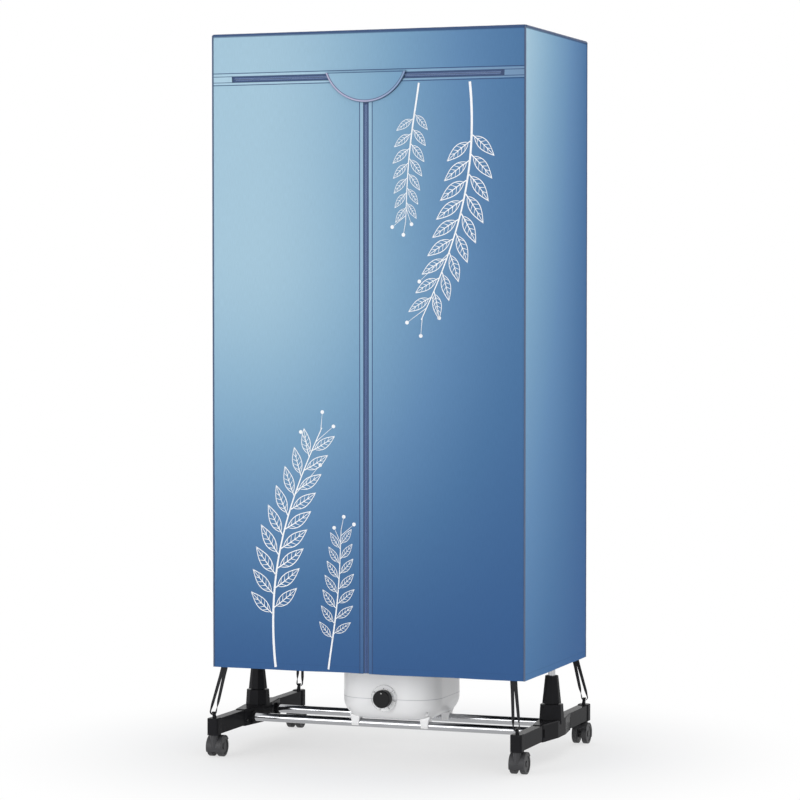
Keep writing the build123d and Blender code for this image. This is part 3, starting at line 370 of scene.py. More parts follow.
# Timer knob: a round knob on the timer's spindle, with a pale pointer dot in its face. Satin black
# plastic, a little smoother than the feet.
knob_black = grained(
    "knob_black", ((22, 22, 23), (30, 30, 32)), (0.3, 0.4), (0.35, 0.00015), {"Specular IOR Level": 0.15}
)
finish_in(knob_black, "timer_knob")
knob_low, knob_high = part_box("timer_knob")
dial_centre = Vector(((knob_low[0] + knob_high[0]) / 2, 0.0, (knob_low[2] + knob_high[2]) / 2))
dot_radius = 0.0014
dot_rise = 0.013
dot_depth = 0.0005
dot_seat = 0.0008
dot_edge = 0.00015
dot_ink = grained(
    "pointer_ink", ((214, 214, 212), (228, 228, 226)), (0.4, 0.5), (0.35, 0.0001), {"Specular IOR Level": 0.4}
)
deselect()
bpy.ops.mesh.primitive_cylinder_add(
    vertices=20, radius=dot_radius, depth=dot_depth, end_fill_type="NGON", rotation=(pi / 2, 0, 0),
    location=(dial_centre.x, knob_low[1] + dot_seat - dot_depth / 2, dial_centre.z + dot_rise),
)
knob_dot = settle("knob_pointer_dot", dot_ink)
apply_modifier(knob_dot, "BEVEL", width=dot_edge, segments=2)
fit(knob_dot, "white_plastic", "timer_knob")

# Dial marks: minutes printed round the knob on the white dial plate. Thin grey ink, with a hairline
# circle at the rim and a tick for each quarter hour.
dial_ink = grained(
    "dial_ink", ((40, 42, 46), (58, 60, 64)), (0.45, 0.6), (0.35, 0.0001), {"Specular IOR Level": 0.35}
)
ink_lift = 0.00012
tick_inner = 0.0212
tick_outer = 0.0234
tick_width = 0.0009
zero_width = 1.6 * tick_width
number_radius = 0.0262
number_height = 0.0042
rim_radius = 0.0296
rim_line = 0.0003
dial_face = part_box("heater_dial_plate")[0][1] - ink_lift
dial_sweep = radians(300)
dial_steps = 12
step_minutes = 15
upright = Matrix.Rotation(pi / 2, 4, "X")


def on_dial(radius, turn):
    """The place of a mark on the dial plate, with the turn counted clockwise from the top."""
    point = (dial_centre.x + radius * sin(turn), dial_face, dial_centre.z + radius * cos(turn))
    return Matrix.Translation(point)


def join_pieces(name, pieces, material=None):
    """Joins pieces into the first one."""
    deselect()
    for piece in pieces:
        piece.select_set(True)
    bpy.context.view_layer.objects.active = pieces[0]
    bpy.ops.object.join()
    return settle(name, material)


deselect()
dial_pieces = []
for step in range(dial_steps + 1):
    turn = dial_sweep * step / dial_steps
    long_tick = step % 2 == 0
    outer = tick_outer if long_tick else (tick_inner + tick_outer) / 2
    bpy.ops.mesh.primitive_plane_add(size=1.0, location=(0, 0, 0))
    tick = bpy.context.object
    tick.scale = (tick_width if step else zero_width, outer - tick_inner, 1)
    bpy.ops.object.transform_apply(location=False, rotation=False, scale=True)
    tick.matrix_world = on_dial((tick_inner + outer) / 2, turn) @ Matrix.Rotation(turn, 4, "Y") @ upright
    dial_pieces.append(tick)
    if long_tick and step > 0:
        bpy.ops.object.text_add(location=(0, 0, 0))
        number = bpy.context.object
        number.data.body = str(step * step_minutes)
        number.data.size = number_height
        number.data.align_x = "CENTER"
        number.data.align_y = "CENTER"
        bpy.ops.object.convert(target="MESH")
        number.matrix_world = on_dial(number_radius, turn) @ upright
        dial_pieces.append(number)
bpy.ops.mesh.primitive_circle_add(vertices=96, radius=rim_radius, fill_type="NGON", location=(0, 0, 0))
rim = bpy.context.object
edit_all(rim, lambda: bpy.ops.mesh.inset(thickness=rim_line), lambda: bpy.ops.mesh.delete(type="FACE"))
rim.matrix_world = on_dial(0.0, 0.0) @ upright
dial_pieces.append(rim)
dial_marks = join_pieces("dial_marks", dial_pieces, dial_ink)
fit(dial_marks, "black_plastic", "frame")

# Cover cloth: polyester satin in a fine plain weave, dyed blue, cut into panels and sewn edge to edge.
# Painted light and shade grade it over each panel from pale sky blue down to deep blue. The inside has a dull
# silver coating.
cloth_thickness = 0.001
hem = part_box("door_left")[0][2]
cover_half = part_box("cover_side_right")[1][0]
cover_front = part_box("cover_header")[0][1]
cover_back_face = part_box("cover_back")[1][1]
panel_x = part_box("cover_header")[1][0]
panel_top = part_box("cover_header")[1][2]
header_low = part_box("cover_header")[0][2]
door_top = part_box("door_right")[1][2]
zip_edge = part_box("door_right")[0][0]
fold_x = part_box("door_right")[1][0] + 0.0004


def scaled(tree, first, second):
    """The product of two values."""
    return combine(tree, "MULTIPLY", first, second)


def wave(tree, value, rate):
    """A sine wave along a value."""
    return combine(tree, "SINE", scaled(tree, value, rate))


weave_group, weave_in, weave_out = new_group(
    "plain_weave", {"Pitch": 0.0007, "Slub": 1.0}, {"Height": "Float", "Fleck": "Float"}
)
weave_uv = place_node(weave_group, "UVMap", uv_map="cloth").outputs["UV"]
weave_parts = split(weave_group, weave_uv)
weave_rate = combine(weave_group, "DIVIDE", 2 * pi, weave_in["Pitch"])
weave_waves = [wave(weave_group, weave_parts[axis], weave_rate) for axis in ("X", "Y")]
weave_cross = scaled(weave_group, *weave_waves)
weave_long = place_node(weave_group, "Mapping", {"Vector": weave_uv, "Scale": (900.0, 60.0, 1.0)})
weave_slub = noisy(weave_group, weave_long.outputs["Vector"], 1.0, 3.0)
weave_thick = scaled(weave_group, weave_slub, weave_in["Slub"])
weave_group.links.new(combine(weave_group, "ADD", weave_cross, weave_thick), weave_out["Height"])
weave_group.links.new(weave_slub, weave_out["Fleck"])

# The cloth's painted light and shade: the grading across and up each panel picks a blue from pale to deep,
# the weave's fleck varies it a little, and a factor for each panel brightens or darkens it all as painted
# light.
cloth_shading_group, cloth_shading_in, cloth_shading_out = new_group(
    "cloth_painted_light", {"Across": 1.0, "Up": 1.0, "Fleck": 0.5, "Depth": 1.0}, {"Color": "Color"}
)
painted_light_level = scaled(cloth_shading_group, cloth_shading_in["Across"], cloth_shading_in["Up"])
shaded_blue_ramp = place_node(cloth_shading_group, "ValToRGB", {"Fac": painted_light_level})
shaded_blue_stops = (
    (0.0, screen(61, 97, 147)), (0.18, screen(80, 120, 164)), (0.36, screen(100, 140, 181)),
    (0.6, screen(125, 165, 197)), (0.8, screen(147, 184, 209)), (1.0, screen(168, 201, 220)),
)
shaded_blue_marks = shaded_blue_ramp.color_ramp.elements
for index, (place, colour) in enumerate(shaded_blue_stops):
    stop = shaded_blue_marks[index] if index < 2 else shaded_blue_marks.new(place)
    stop.position = place
    stop.color = colour
dye_fleck = ranged(cloth_shading_group, cloth_shading_in["Fleck"], 0.3, 0.7, 0.965, 1.035, "LINEAR")
fleck_and_painted_light = scaled(cloth_shading_group, dye_fleck, cloth_shading_in["Depth"])
shaded_cloth_colour = blended(cloth_shading_group, 1.0, shaded_blue_ramp.outputs["Color"], fleck_and_painted_light, "MULTIPLY")
cloth_shading_group.links.new(shaded_cloth_colour, cloth_shading_out["Color"])


def cloth_uv(tree):
    """The two flat coordinates of a cloth piece, in metres."""
    parts = split(tree, place_node(tree, "UVMap", uv_map="cloth").outputs["UV"])
    return parts["X"], parts["Y"]


def strongest(tree, first, *others):
    """The largest of several values."""
    for other in others:
        first = combine(tree, "MAXIMUM", first, other)
    return first


def line_at(tree, value, middle, half_width):
    """A soft edged line where a coordinate is at one value."""
    return ranged(tree, distance(tree, value, middle), half_width * 0.5, half_width, 1.0, 0.0)


def satin_cloth(name, fades, depth, lines=None, edge=None):
    """Blue satin, graded across and up by the painted light and shade that fades give. depth is the panel's
    painted light level, lines are the dark sewn seams, with the painted shadow under the top piping where
    they have it, and edge the painted highlights on the pressed folds.
    """
    made, tree = new_material(name, {"Specular IOR Level": 0.02})
    across, up = cloth_uv(tree)
    weave = use_group(tree, weave_group)
    fade_across = ranged(tree, across, *fades[0])
    fade_up = ranged(tree, up, *fades[1])
    shaded_cloth = use_group(tree, cloth_shading_group, Across=fade_across, Up=fade_up, Fleck=weave["Fleck"], Depth=depth)
    colour = shaded_cloth["Color"]
    height = weave["Height"]
    # Painted highlights on the pressed folds.
    if edge:
        colour = blended(tree, edge(tree, across, up), colour, (216, 240, 252))
    # Dark seams, and the painted shadow under the top piping.
    if lines:
        seam = lines(tree, across, up)
        colour = blended(tree, seam, colour, (53, 76, 115))
        height = combine(tree, "SUBTRACT", height, scaled(tree, seam, 4.0))
    dress(tree, colour, ranged(tree, weave["Fleck"], 0.3, 0.7, 0.52, 0.66), height, (0.25, 0.00012))
    return made


def woven(name, shades, gloss, relief, fixed, pitch=0.0007):
    """A woven finish in two close shades that follow the threads."""
    made, tree = new_material(name, fixed)
    weave = use_group(tree, weave_group, Pitch=pitch)
    colour = blended(tree, weave["Fleck"], *shades)
    dress(tree, colour, ranged(tree, weave["Fleck"], 0.3, 0.7, *gloss), weave["Height"], relief)
    return made


door_line = 0.01465
door_line_high = 1.487
header_line = 1.513
hem_line = hem + 0.014
hem_half = 0.0008
# A band of painted shadow under the top piping, over the seam there.
piping_shadow_seam = (panel_top - 0.0042, panel_top - 0.0022)
row_half = 0.0011
turned_half = 0.0012
zip_corner = (1.488, 1.490)
upper_fold = ((1.4885, 1.4895), (1.5105, 1.5118))
long_fold = (0.0125, 0.0138)


def hem_lines(tree, across, up):
    """One row of stitching above the hem, and the seam under the top piping, darkened by painted shadow of
    the piping.
    """
    low = scaled(tree, line_at(tree, up, hem_line, hem_half), 0.25)
    return strongest(tree, low, scaled(tree, ranged(tree, up, *piping_shadow_seam), 0.7))


def front_lines(tree, across, up):
    """The rows of stitching beside the zips, the turned edges along the top zip, and the panel's seams, with
    the painted shadow under the top piping.
    """
    below = ranged(tree, up, *zip_corner, 1.0, 0.0)
    sewn = [scaled(tree, line_at(tree, distance(tree, across), door_line, row_half), below)]
    sewn += [line_at(tree, up, level, row_half) for level in (door_line_high, header_line)]
    turned = [line_at(tree, up, level, turned_half) for level in (header_low, door_top)]
    return strongest(tree, *sewn, scaled(tree, strongest(tree, *turned), 0.75), hem_lines(tree, across, up))


def front_fold_highlights(tree, across, up):
    """Painted highlights on the pressed folds between the stitching and the zips, stronger higher up."""
    below = ranged(tree, up, *zip_corner, 1.0, 0.0)
    beside = scaled(tree, ranged(tree, distance(tree, across), *long_fold, 1.0, 0.0), below)
    above = scaled(tree, ranged(tree, up, *upper_fold[0]), ranged(tree, up, *upper_fold[1], 1.0, 0.0))
    strength = ranged(tree, up, 0.2, 1.48, 0.03, 0.16, "LINEAR")
    return scaled(tree, strongest(tree, beside, above), strength)


# Painted light and shade: the front is pale at the upper left, the sides at the front edge and the top at the
# left front.
# Each panel's painted light level makes up for the lamp light on it, so the sides, which the key light
# misses, are made paler than the front.
front_painted_light = ((0.44, -0.28, 0.18, 1.0), (0.10, 1.15))
side_painted_light = ((-0.227, 0.227, 0.99, 0.14, "LINEAR"), (0.2, 1.556, 0.18, 1.0, "LINEAR"))
back_painted_light = ((-0.5, 0.5, 0.24, 0.3), (0.2, 1.55, 0.25, 1.0))
top_painted_light = ((0.5, -0.4, 0.3, 0.85), (0.3, -0.3, 0.6, 1.0))
front_light_level = 0.93
front_satin = satin_cloth("front_satin", front_painted_light, front_light_level, front_lines, front_fold_highlights)
side_satin = satin_cloth("side_satin", side_painted_light, 1.25, hem_lines)
back_satin = satin_cloth("back_satin", back_painted_light, 1.12, hem_lines)
top_satin = satin_cloth("top_satin", top_painted_light, 1.06)
lining = woven(
    "silver_coating", ((140, 146, 154), (172, 177, 184)), (0.38, 0.5), (0.25, 0.00012),
    {"Specular IOR Level": 0.4},
)
smooth_angle = radians(40)


def spread(start, end, steps):
    """Even places from start to end."""
    return [start + (end - start) * index / steps for index in range(steps + 1)]


def spread_through(places, steps):
    """Even places from each of some places to the next."""
    found = [places[0]]
    for start, end, count in zip(places, places[1:], steps):
        found += spread(start, end, count)[1:]
    return found


def shaped_grid(name, columns, rows, place, materials, thickness=0.0, flat=None, facing=(0, -1, 0)):
    """A grid whose points are moved to their places on the piece, with its flat pattern as its UV map.

    columns and rows are the grid's own coordinates, place(column, row) gives a point, flat(column, row)
    the place on the flat cloth where that differs, and facing the way that the outer face looks."""
    deselect()
    bpy.ops.mesh.primitive_grid_add(x_subdivisions=len(columns) - 1, y_subdivisions=len(rows) - 1, size=2.0)
    piece = bpy.context.object
    mesh = piece.data
    for uv in list(mesh.uv_layers):
        mesh.uv_layers.remove(uv)
    cells = {}
    for vertex in mesh.vertices:
        column = columns[round((vertex.co.x + 1) / 2 * (len(columns) - 1))]
        row = rows[round((vertex.co.y + 1) / 2 * (len(rows) - 1))]
        cells[vertex.index] = flat(column, row) if flat else (column, row)
        vertex.co = place(column, row)
    uv = mesh.uv_layers.new(name="cloth")
    for loop in mesh.loops:
        uv.data[loop.index].uv = cells[loop.vertex_index]
    mesh.update()
    if facing and sum(polygon.normal.dot(Vector(facing)) for polygon in mesh.polygons) < 0:
        edit_all(piece, bpy.ops.mesh.flip_normals)
    settle(name)
    mesh.materials.clear()
    for material in materials:
        mesh.materials.append(material)
    if thickness:
        apply_modifier(piece, "SOLIDIFY", thickness=thickness, offset=-1.0, use_even_offset=True,
                       material_offset=len(materials) - 1)
    bpy.ops.object.shade_smooth_by_angle(angle=smooth_angle)
    return piece


def cloth_panel(name, columns, rows, place, satin, body, node, flat=None, facing=(0, -1, 0)):
    """A lined panel of satin in place of its CAD node."""
    panel = shaped_grid(name, columns, rows, place, [satin, lining], cloth_thickness, flat, facing)
    fit(panel, "cover_cloth", body, node)
    return panel


def soft_noise(*place):
    """Smooth noise from -1 to 1, the same on each run."""
    return noise.noise(Vector(place))


# Side and back panels: flat satin panels sewn to the piping along their edges and left free at the hem.
# They stand a little proud between the seams and ripple slightly along the hem.
billow = 0.0022
ripple = 0.0024
ripple_reach = 0.08
ripple_share = 0.6
hem_rise = 0.0014
hem_reach = 0.05
panel_y = -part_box("cover_side_right")[0][1]
sides = (("left", -1), ("right", 1))


def held_above(up, top):
    """How far the cloth is from being held straight by the seam at its top."""
    return max(0.0, 1 - ((up - hem) / (top - hem)) ** 6)


def panel_relief(along, up, half, seed):
    """How far a panel stands out from its seams."""
    held = max(0.0, 1 - (along / half) ** 2)
    broad = 0.6 + 0.5 * soft_noise(along * 3.0 + seed, up * 1.5, seed)
    low = exp(-(up - hem) / ripple_reach) * soft_noise(along * 11.0 + seed, seed * 2.0, 0.5)
    proud = held * held_above(up, panel_top) * billow * max(0.1, broad)
    return proud + min(1.0, 3 * held) * ripple * max(-0.1, low) * ripple_share


def hem_wave(along, up, seed):
    """The height of a point, with the hem slightly uneven."""
    return up + exp(-(up - hem) / hem_reach) * hem_rise * soft_noise(along * 8.0, seed, 4.0)


panel_rows = spread_through((hem, hem + 0.03, panel_top), (6, 90))
side_columns = spread(-panel_y, panel_y, 44)
for side, sign in sides:
    def side_place(along, up):
        """A point of the side panel."""
        out = cover_half + panel_relief(along, up, panel_y, 2.0 + sign)
        return (sign * out, along, hem_wave(along, up, 7.0 + sign))

    side_panel = cloth_panel(
        "side_panel_" + side, side_columns, panel_rows, side_place, side_satin, "frame",
        "cover_side_" + side, facing=(sign, 0, 0),
    )


def back_place(along, up):
    """A point of the back panel."""
    return (along, cover_back_face + panel_relief(along, up, panel_x, 9.0), hem_wave(along, up, 11.0))


back_columns = spread(-panel_x, panel_x, 60)
back_panel = cloth_panel(
    "back_panel", back_columns, panel_rows, back_place, back_satin, "frame", "cover_back", facing=(0, 1, 0)
)

# Top panel: a satin panel sewn into the top piping, lying on the bracket ends and sagging a little
# between them.
top_low, top_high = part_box("cover_top")
top_sag = 0.005
bearing_x = 0.335
bearing_y = 0.2
top_columns = spread(top_low[0], top_high[0], 60)
top_rows = spread(top_low[1], top_high[1], 40)


def top_place(across, along):
    """A point of the top panel, with its shallow uneven sag."""
    sag_x = max(0.0, 1 - (across / bearing_x) ** 2)
    sag_y = max(0.0, 1 - (along / bearing_y) ** 4)
    dent = 1 + 0.2 * soft_noise(across * 5, along * 5, 1.0)
    return (across, along, top_high[2] - top_sag * sag_x * sag_y * dent)


top_panel = cloth_panel(
    "top_panel", top_columns, top_rows, top_place, top_satin, "frame", "cover_top", facing=(0, 0, 1)
)

# Header: the strip of satin across the front above the zip, folded under and stitched along its lower
# edge.
header_full = 0.0008
header_columns = spread(-panel_x, panel_x, 72)
header_rows = spread(header_low, panel_top, 20)


def header_place(across, up):
    """A point of the header, with a slight soft fullness between the piping and the zip."""
    rise = (up - header_low) / (panel_top - header_low)
    held = sin(pi * rise) * max(0.0, 1 - (across / panel_x) ** 8)
    relief = header_full * held * (1 + 0.6 * soft_noise(across * 6, up * 9, 5.0))
    return (across, cover_front - relief, up)


header_panel = cloth_panel(
    "header_panel", header_columns, header_rows, header_place, front_satin, "frame", "cover_header"
)

# Doors: each front half is one satin panel from the corner piping to the zip, with a half moon cut away
# behind the flap.
# The door folds open along a line beside the corner; the panel's grid has a close pair of lines there, but
# nothing here folds it.
flap_low, flap_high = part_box("zip_flap")
flap_half = flap_high[0]
flap_top = flap_high[2] - 0.002
flap_depth = flap_top - flap_low[2]
flap_rim = (flap_half**2 + flap_depth**2) / (2 * flap_depth)
flap_centre = flap_low[2] + flap_rim
cutout = flap_rim + 0.0008
fold_half = 0.0003


def cut_level(away):
    """The height of the cut-out's edge at a distance from the middle."""
    return flap_centre - sqrt(cutout**2 - away**2)


def cut_reach(up):
    """How far from the middle the cut-out's edge is at a height."""
    return sqrt(max(0.0, cutout**2 - (flap_centre - up) ** 2))


def door_limit(away):
    """The top edge of the front cloth at a distance from the middle."""
    if away > fold_x:
        return header_low
    return min(door_top, cut_level(away)) if away < cutout else door_top


def door_relief(across, up):
    """How far the front cloth stands out between the corner and the zip."""
    part = clamp((abs(across) - zip_edge) / (panel_x - zip_edge))
    held = (4 * part * (1 - part)) ** 1.5
    broad = 0.6 + 0.5 * soft_noise(across * 3.2, up * 1.4, 20.0)
    low = exp(-(up - hem) / ripple_reach) * soft_noise(across * 10.0, 3.0, 8.0)
    return held * held_above(up, door_top) * (billow * max(0.1, broad) + ripple * max(-0.1, low))


door_columns = spread_through(
    (zip_edge, 0.0165, 0.1, 0.3, fold_x - fold_half, fold_x + fold_half, 0.332, panel_x),
    (6, 26, 22, 14, 1, 14, 5),
)
door_rows = spread_through((0.0, 0.024, 0.96, 1.0), (6, 90, 12))
front_panels = {}
for side, sign in sides:
    def door_flat(away, part):
        """A point of the flat front half."""
        return (sign * away, hem + (door_limit(away) - hem) * part)

    def door_place(away, part):
        """Where that point hangs."""
        across, up = door_flat(away, part)
        return (across, cover_front - door_relief(across, up), hem_wave(across, up, 15.0))

    front_panels[side] = cloth_panel(
        "front_panel_" + side, door_columns, door_rows, door_place, front_satin, None, "door_" + side,
        door_flat,
    )

# Print: pale leafy twigs across the lower left and the upper right of the doors, screened on in white
# ink. The leaves are open line drawings, and the ink lets a little of the weave through.
print_ink = woven(
    "white_print", ((236, 240, 245), (252, 252, 253)), (0.5, 0.62), (0.2, 0.0001), {"Specular IOR Level": 0.3}
)
print_lift = 0.0002
leaf_half = 0.19
leaf_line = 0.028
leaf_foot = 0.12
leaf_bend = 0.08
leaf_open = 58
leaf_closing = 22
leaf_taper = 0.45
rib_end = 0.95
rib_half = 0.7 * leaf_line
vein_half = 0.45 * leaf_line
line_taper = 0.6
stem_taper = 0.65
twig_curve = 1.7
twig_step = 0.01
vein_starts = (0.14, 0.30, 0.46, 0.62)
vein_lean = 0.13
stalk_half = 0.0008
bud_radius = 0.0042
first_leaf = 0.22
leaf_run = 0.74
leaf_lag = 0.32
Twig = namedtuple("Twig", "root height lean sway stem pairs leaf buds")


def on_front(across, up):
    """A point just in front of the front cloth."""
    return (across, cover_front - door_relief(across, up) - print_lift, up)


def drawn(name, columns, rows, place):
    """A flat shape of ink, drawn on the ground plane."""
    return shaped_grid(
        name, columns, rows, lambda *at: (*place(*at), 0.0), [print_ink], flat=place, facing=(0, 0, 1)
    )


def drawn_line(name, start, end, half):
    """A straight line of ink that thins towards its end."""
    first = Vector(start)
    last = Vector(end)
    beside = Vector((first.y - last.y, last.x - first.x)).normalized()
    return drawn(
        name, spread(0.0, 1.0, 3), [-1.0, 1.0],
        lambda part, side: (first.lerp(last, part) + beside * side * half * (1 - line_taper * part))[:],
    )


def leaf_edge(run):
    """Half the width of a leaf one unit long."""
    return leaf_half * sin(pi * run**0.8)


def printed(pattern, place):
    """A copy of a drawn shape, carried point by point to its place on the cloth."""
    mesh = pattern.data.copy()
    cells = [place(vertex.co.x, vertex.co.y) for vertex in mesh.vertices]
    for vertex in mesh.vertices:
        vertex.co = on_front(*cells[vertex.index])
    for loop in mesh.loops:
        mesh.uv_layers["cloth"].data[loop.index].uv = cells[loop.vertex_index]
    return new_object(pattern.name, mesh)


leaf_parts = [drawn_line("leaf_rib", (-leaf_foot, 0.0), (rib_end, 0.0), rib_half)]
for half in (-1, 1):
    leaf_parts.append(drawn(
        "leaf_rim", spread(0.0, 1.0, 14), [0.0, 1.0],
        lambda run, out: (run, half * max(0.0, leaf_edge(run) - leaf_line * (1 - out))),
    ))
    for start in vein_starts:
        reach = half * (leaf_edge(start + vein_lean) - leaf_line)
        leaf_parts.append(drawn_line("leaf_vein", (start, 0.0), (start + vein_lean, reach), vein_half))
leaf_pattern = join_pieces("leaf_pattern", leaf_parts)
stalk_pattern = drawn_line("stalk_pattern", (0.0, 0.0), (1.0, 0.0), 1.0)
bud_pattern = drawn(
    "bud_pattern", [0.0, 1.0], spread(0.0, 2 * pi, 14), lambda out, turn: (out * sin(turn), out * cos(turn))
)
patterns = (leaf_pattern, stalk_pattern, bud_pattern)
for pattern in patterns:
    edit_all(pattern, weld)


def twig_point(twig, part):
    """A point of a twig's stem, which leaves its root straight and then leans over."""
    across = twig.root[0] + twig.lean * max(0.0, part) ** twig_curve + twig.sway * sin(pi * part)
    return Vector((across, twig.root[1] + twig.height * part))


def twig_ahead(twig, part):
    """The way that a twig's stem runs at a point."""
    return (twig_point(twig, part + twig_step) - twig_point(twig, part - twig_step)).normalized()


def twig_pieces(twig):
    """The stem, leaves and buds of one twig, printed on the cloth."""
    def stem_flat(part, side):
        """A point on one side of the stem."""
        point = twig_point(twig, part)
        ahead = twig_ahead(twig, part)
        width = twig.stem / 2 * (1 - stem_taper * part)
        return (point.x + side * width * ahead.y, point.y - side * width * ahead.x)

    made = [shaped_grid(
        "twig_stem", spread(0.0, 1.0, 40), [-1.0, 1.0], lambda part, side: on_front(*stem_flat(part, side)),
        [print_ink], flat=stem_flat,
    )]
    for index in range(twig.pairs):
        for side in (-1, 1):
            part = first_leaf + leaf_run * (index + (leaf_lag if side > 0 else 0.0)) / twig.pairs
            foot = twig_point(twig, part)
            angle = -radians(side * (leaf_open - leaf_closing * part))
            along = Matrix.Rotation(angle, 2) @ twig_ahead(twig, part)
            beside = Vector((-along.y, along.x))
            length = twig.leaf * (1 - leaf_taper * abs(part - leaf_taper))
            made.append(printed(
                leaf_pattern, lambda run, out: foot + along * length * (leaf_foot + run)
                + beside * length * (out + leaf_bend * side * run * run),
            ))
    for part, reach, angle in twig.buds:
        foot = twig_point(twig, part)
        along = Vector((sin(radians(angle)), cos(radians(angle))))
        beside = Vector((-along.y, along.x))
        made.append(printed(
            stalk_pattern, lambda run, out: foot + along * reach * run + beside * stalk_half * out
        ))
        made.append(printed(
            bud_pattern, lambda over, up: foot + along * reach + Vector((over, up)) * bud_radius
        ))
    return made


twigs = {
    "left": (
        Twig((-0.213, 0.205), 0.53, 0.11, -0.022, 0.0056, 9, 0.072,
             ((0.9, 0.05, -30), (0.99, 0.04, 5), (0.94, 0.055, 50), (0.72, 0.09, 42))),
        Twig((-0.088, 0.205), 0.31, 0.03, 0.012, 0.0042, 7, 0.048,
             ((0.9, 0.036, -25), (0.99, 0.03, 12), (0.95, 0.04, 50))),
    ),
    "right": (
        Twig((0.238, 1.482), -0.51, -0.11, 0.02, 0.0056, 9, 0.070,
             ((0.9, 0.05, 160), (0.99, 0.04, 185), (0.95, 0.055, 235), (0.72, 0.09, 228))),
        Twig((0.122, 1.482), -0.30, -0.03, -0.012, 0.0042, 7, 0.047,
             ((0.9, 0.036, 160), (0.99, 0.03, 190), (0.95, 0.04, 232))),
    ),
}
prints = {}
for side, group in twigs.items():
    twig_parts = [piece for twig in group for piece in twig_pieces(twig)]
    prints[side] = join_pieces("twig_print_" + side, twig_parts)
    fit(prints[side], "cover_cloth", "door_" + side)
for pattern in patterns:
    bpy.data.objects.remove(pattern)

# Zips: woven navy tapes sewn behind the cloth edges, with a nylon coil along each. One runs down the
# middle, with a strip of tape behind it, and one across under the header, closed by a tab at each end.
tape_navy = woven(
    "zip_tape_navy", ((51, 69, 106), (72, 95, 134)), (0.55, 0.7), (0.4, 0.0002),
    {"Specular IOR Level": 0.3, "Sheen Weight": 0.1}, 0.0011,
)
coil_nylon, coil_tree = new_material("zip_coil_nylon", {"Specular IOR Level": 0.3})
coil_patch = use_group(coil_tree, grain_group, Grain=900.0, Patches=60.0)["Patch"]
# Painted light: the coil is paler higher up, following the painted grading of the cloth around it.
coil_painted_light = ranged(coil_tree, split(coil_tree, object_place(coil_tree))["Z"], 0.2, 1.4)
coil_shade = blended(coil_tree, coil_painted_light, (85, 115, 171), (129, 152, 194))
dress(coil_tree, coil_shade, ranged(coil_tree, coil_patch, 0.3, 0.7, 0.35, 0.5))
tape_face = -0.2263
tape_thickness = 0.0006
tape_width = 0.0154
tab_behind = 0.0008
tab_over = 0.0025
tab_lap = 0.0015
coil_pitch = 0.0021
coil_turn = 0.62 * coil_pitch
coil_rounding = 0.32
coil_margin = 0.002
zip_gap = 0.00035
coil_reach = (zip_gap, 0.0027)
coil_depth = (-0.2270, -0.2250)
coil_middle = (coil_depth[0] + coil_depth[1]) / 2
coil_off = (coil_reach[0] + coil_reach[1]) / 2
coil_size = (coil_reach[1] - coil_reach[0], coil_depth[1] - coil_depth[0], coil_turn)
turned_size = coil_size[::-1]
zip_level = (header_low + door_top) / 2
zip_foot = hem + 0.0008
zip_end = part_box("zip_tape_header")[1][0]
long_run = 1.25
cross_run = 0.22
underlap_reach = (-0.0150, 0.0040)
underlap_step = 0.0070
underlap_seam = tape_face + tape_thickness + 0.0001
underlap_face = -0.2230
underlap_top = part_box("zip_guard")[0][2] - 0.002


def repeated(name, start, step, count, size, rounding, material):
    """A row of rounded blocks: one is modelled at its place and repeated along the row."""
    deselect()
    bpy.ops.mesh.primitive_cube_add(size=1.0, location=start)
    bpy.context.object.scale = size
    row = settle(name, material)
    apply_modifier(row, "BEVEL", width=rounding, segments=2)
    apply_modifier(row, "ARRAY", count=count, use_relative_offset=False, use_constant_offset=True,
                   constant_offset_displace=step)
    return row


def coil_row(name, start, step, length, size):
    """The turns of a coil along a length of zip."""
    count = int(length / coil_pitch)
    return repeated(name, start, step, count, size, min(size) * coil_rounding, coil_nylon)


def tape_grid(name, columns, rows, place, flat=None):
    """A length of zip tape."""
    return shaped_grid(name, columns, rows, place, [tape_navy], tape_thickness, flat)


def eased(part):
    """A part from nought to one that starts and ends gently."""
    part = clamp(part)
    return part * part * (3 - 2 * part)


def underlap_place(across, up):
    """The strip behind the middle zip: sewn to the left tape, then clear of the slider's back."""
    out = eased((across - underlap_reach[0]) / underlap_step)
    return (across, underlap_seam + (underlap_face - underlap_seam) * out, up)


underlap = tape_grid(
    "zip_underlap", spread(*underlap_reach, 14), spread(zip_foot, underlap_top, 30), underlap_place
)
for side, sign in sides:
    def long_place(away, part):
        """A point of the tape along the middle."""
        top = min(zip_level - zip_gap, cut_level(away))
        return (sign * away, tape_face, zip_foot + (top - zip_foot) * part)

    def cross_place(part, up):
        """A point of the tape under the header."""
        start = cut_reach(up)
        return (sign * (start + (zip_end - start) * part), tape_face, up)

    half_turn = coil_pitch / 2 if sign > 0 else 0.0
    cross_start = cut_reach(zip_level) + coil_margin
    zip_pieces = [
        tape_grid(
            "long_tape", spread(zip_gap, tape_width, 4), spread(0.0, 1.0, 60), long_place,
            lambda away, part: (away, part * long_run),
        ),
        tape_grid(
            "cross_tape", spread(0.0, 1.0, 24), spread(zip_level - tape_width, zip_level - zip_gap, 4),
            cross_place, lambda part, up: (up, part * cross_run),
        ),
        coil_row(
            "long_coil", (sign * coil_off, coil_middle, zip_foot + coil_margin + half_turn),
            (0, 0, coil_pitch), cut_level(coil_off) - zip_foot - 2 * coil_margin, coil_size,
        ),
        coil_row(
            "cross_coil", (sign * cross_start, coil_middle, zip_level - coil_off), (sign * coil_pitch, 0, 0),
            zip_end - cross_start - coil_margin, turned_size,
        ),
    ]
    if side == "left":
        zip_pieces.append(underlap)
    door_zip = join_pieces("door_zip_" + side, zip_pieces)
    fit(door_zip, "navy_trim", "door_" + side, "zip_tape_" + side)

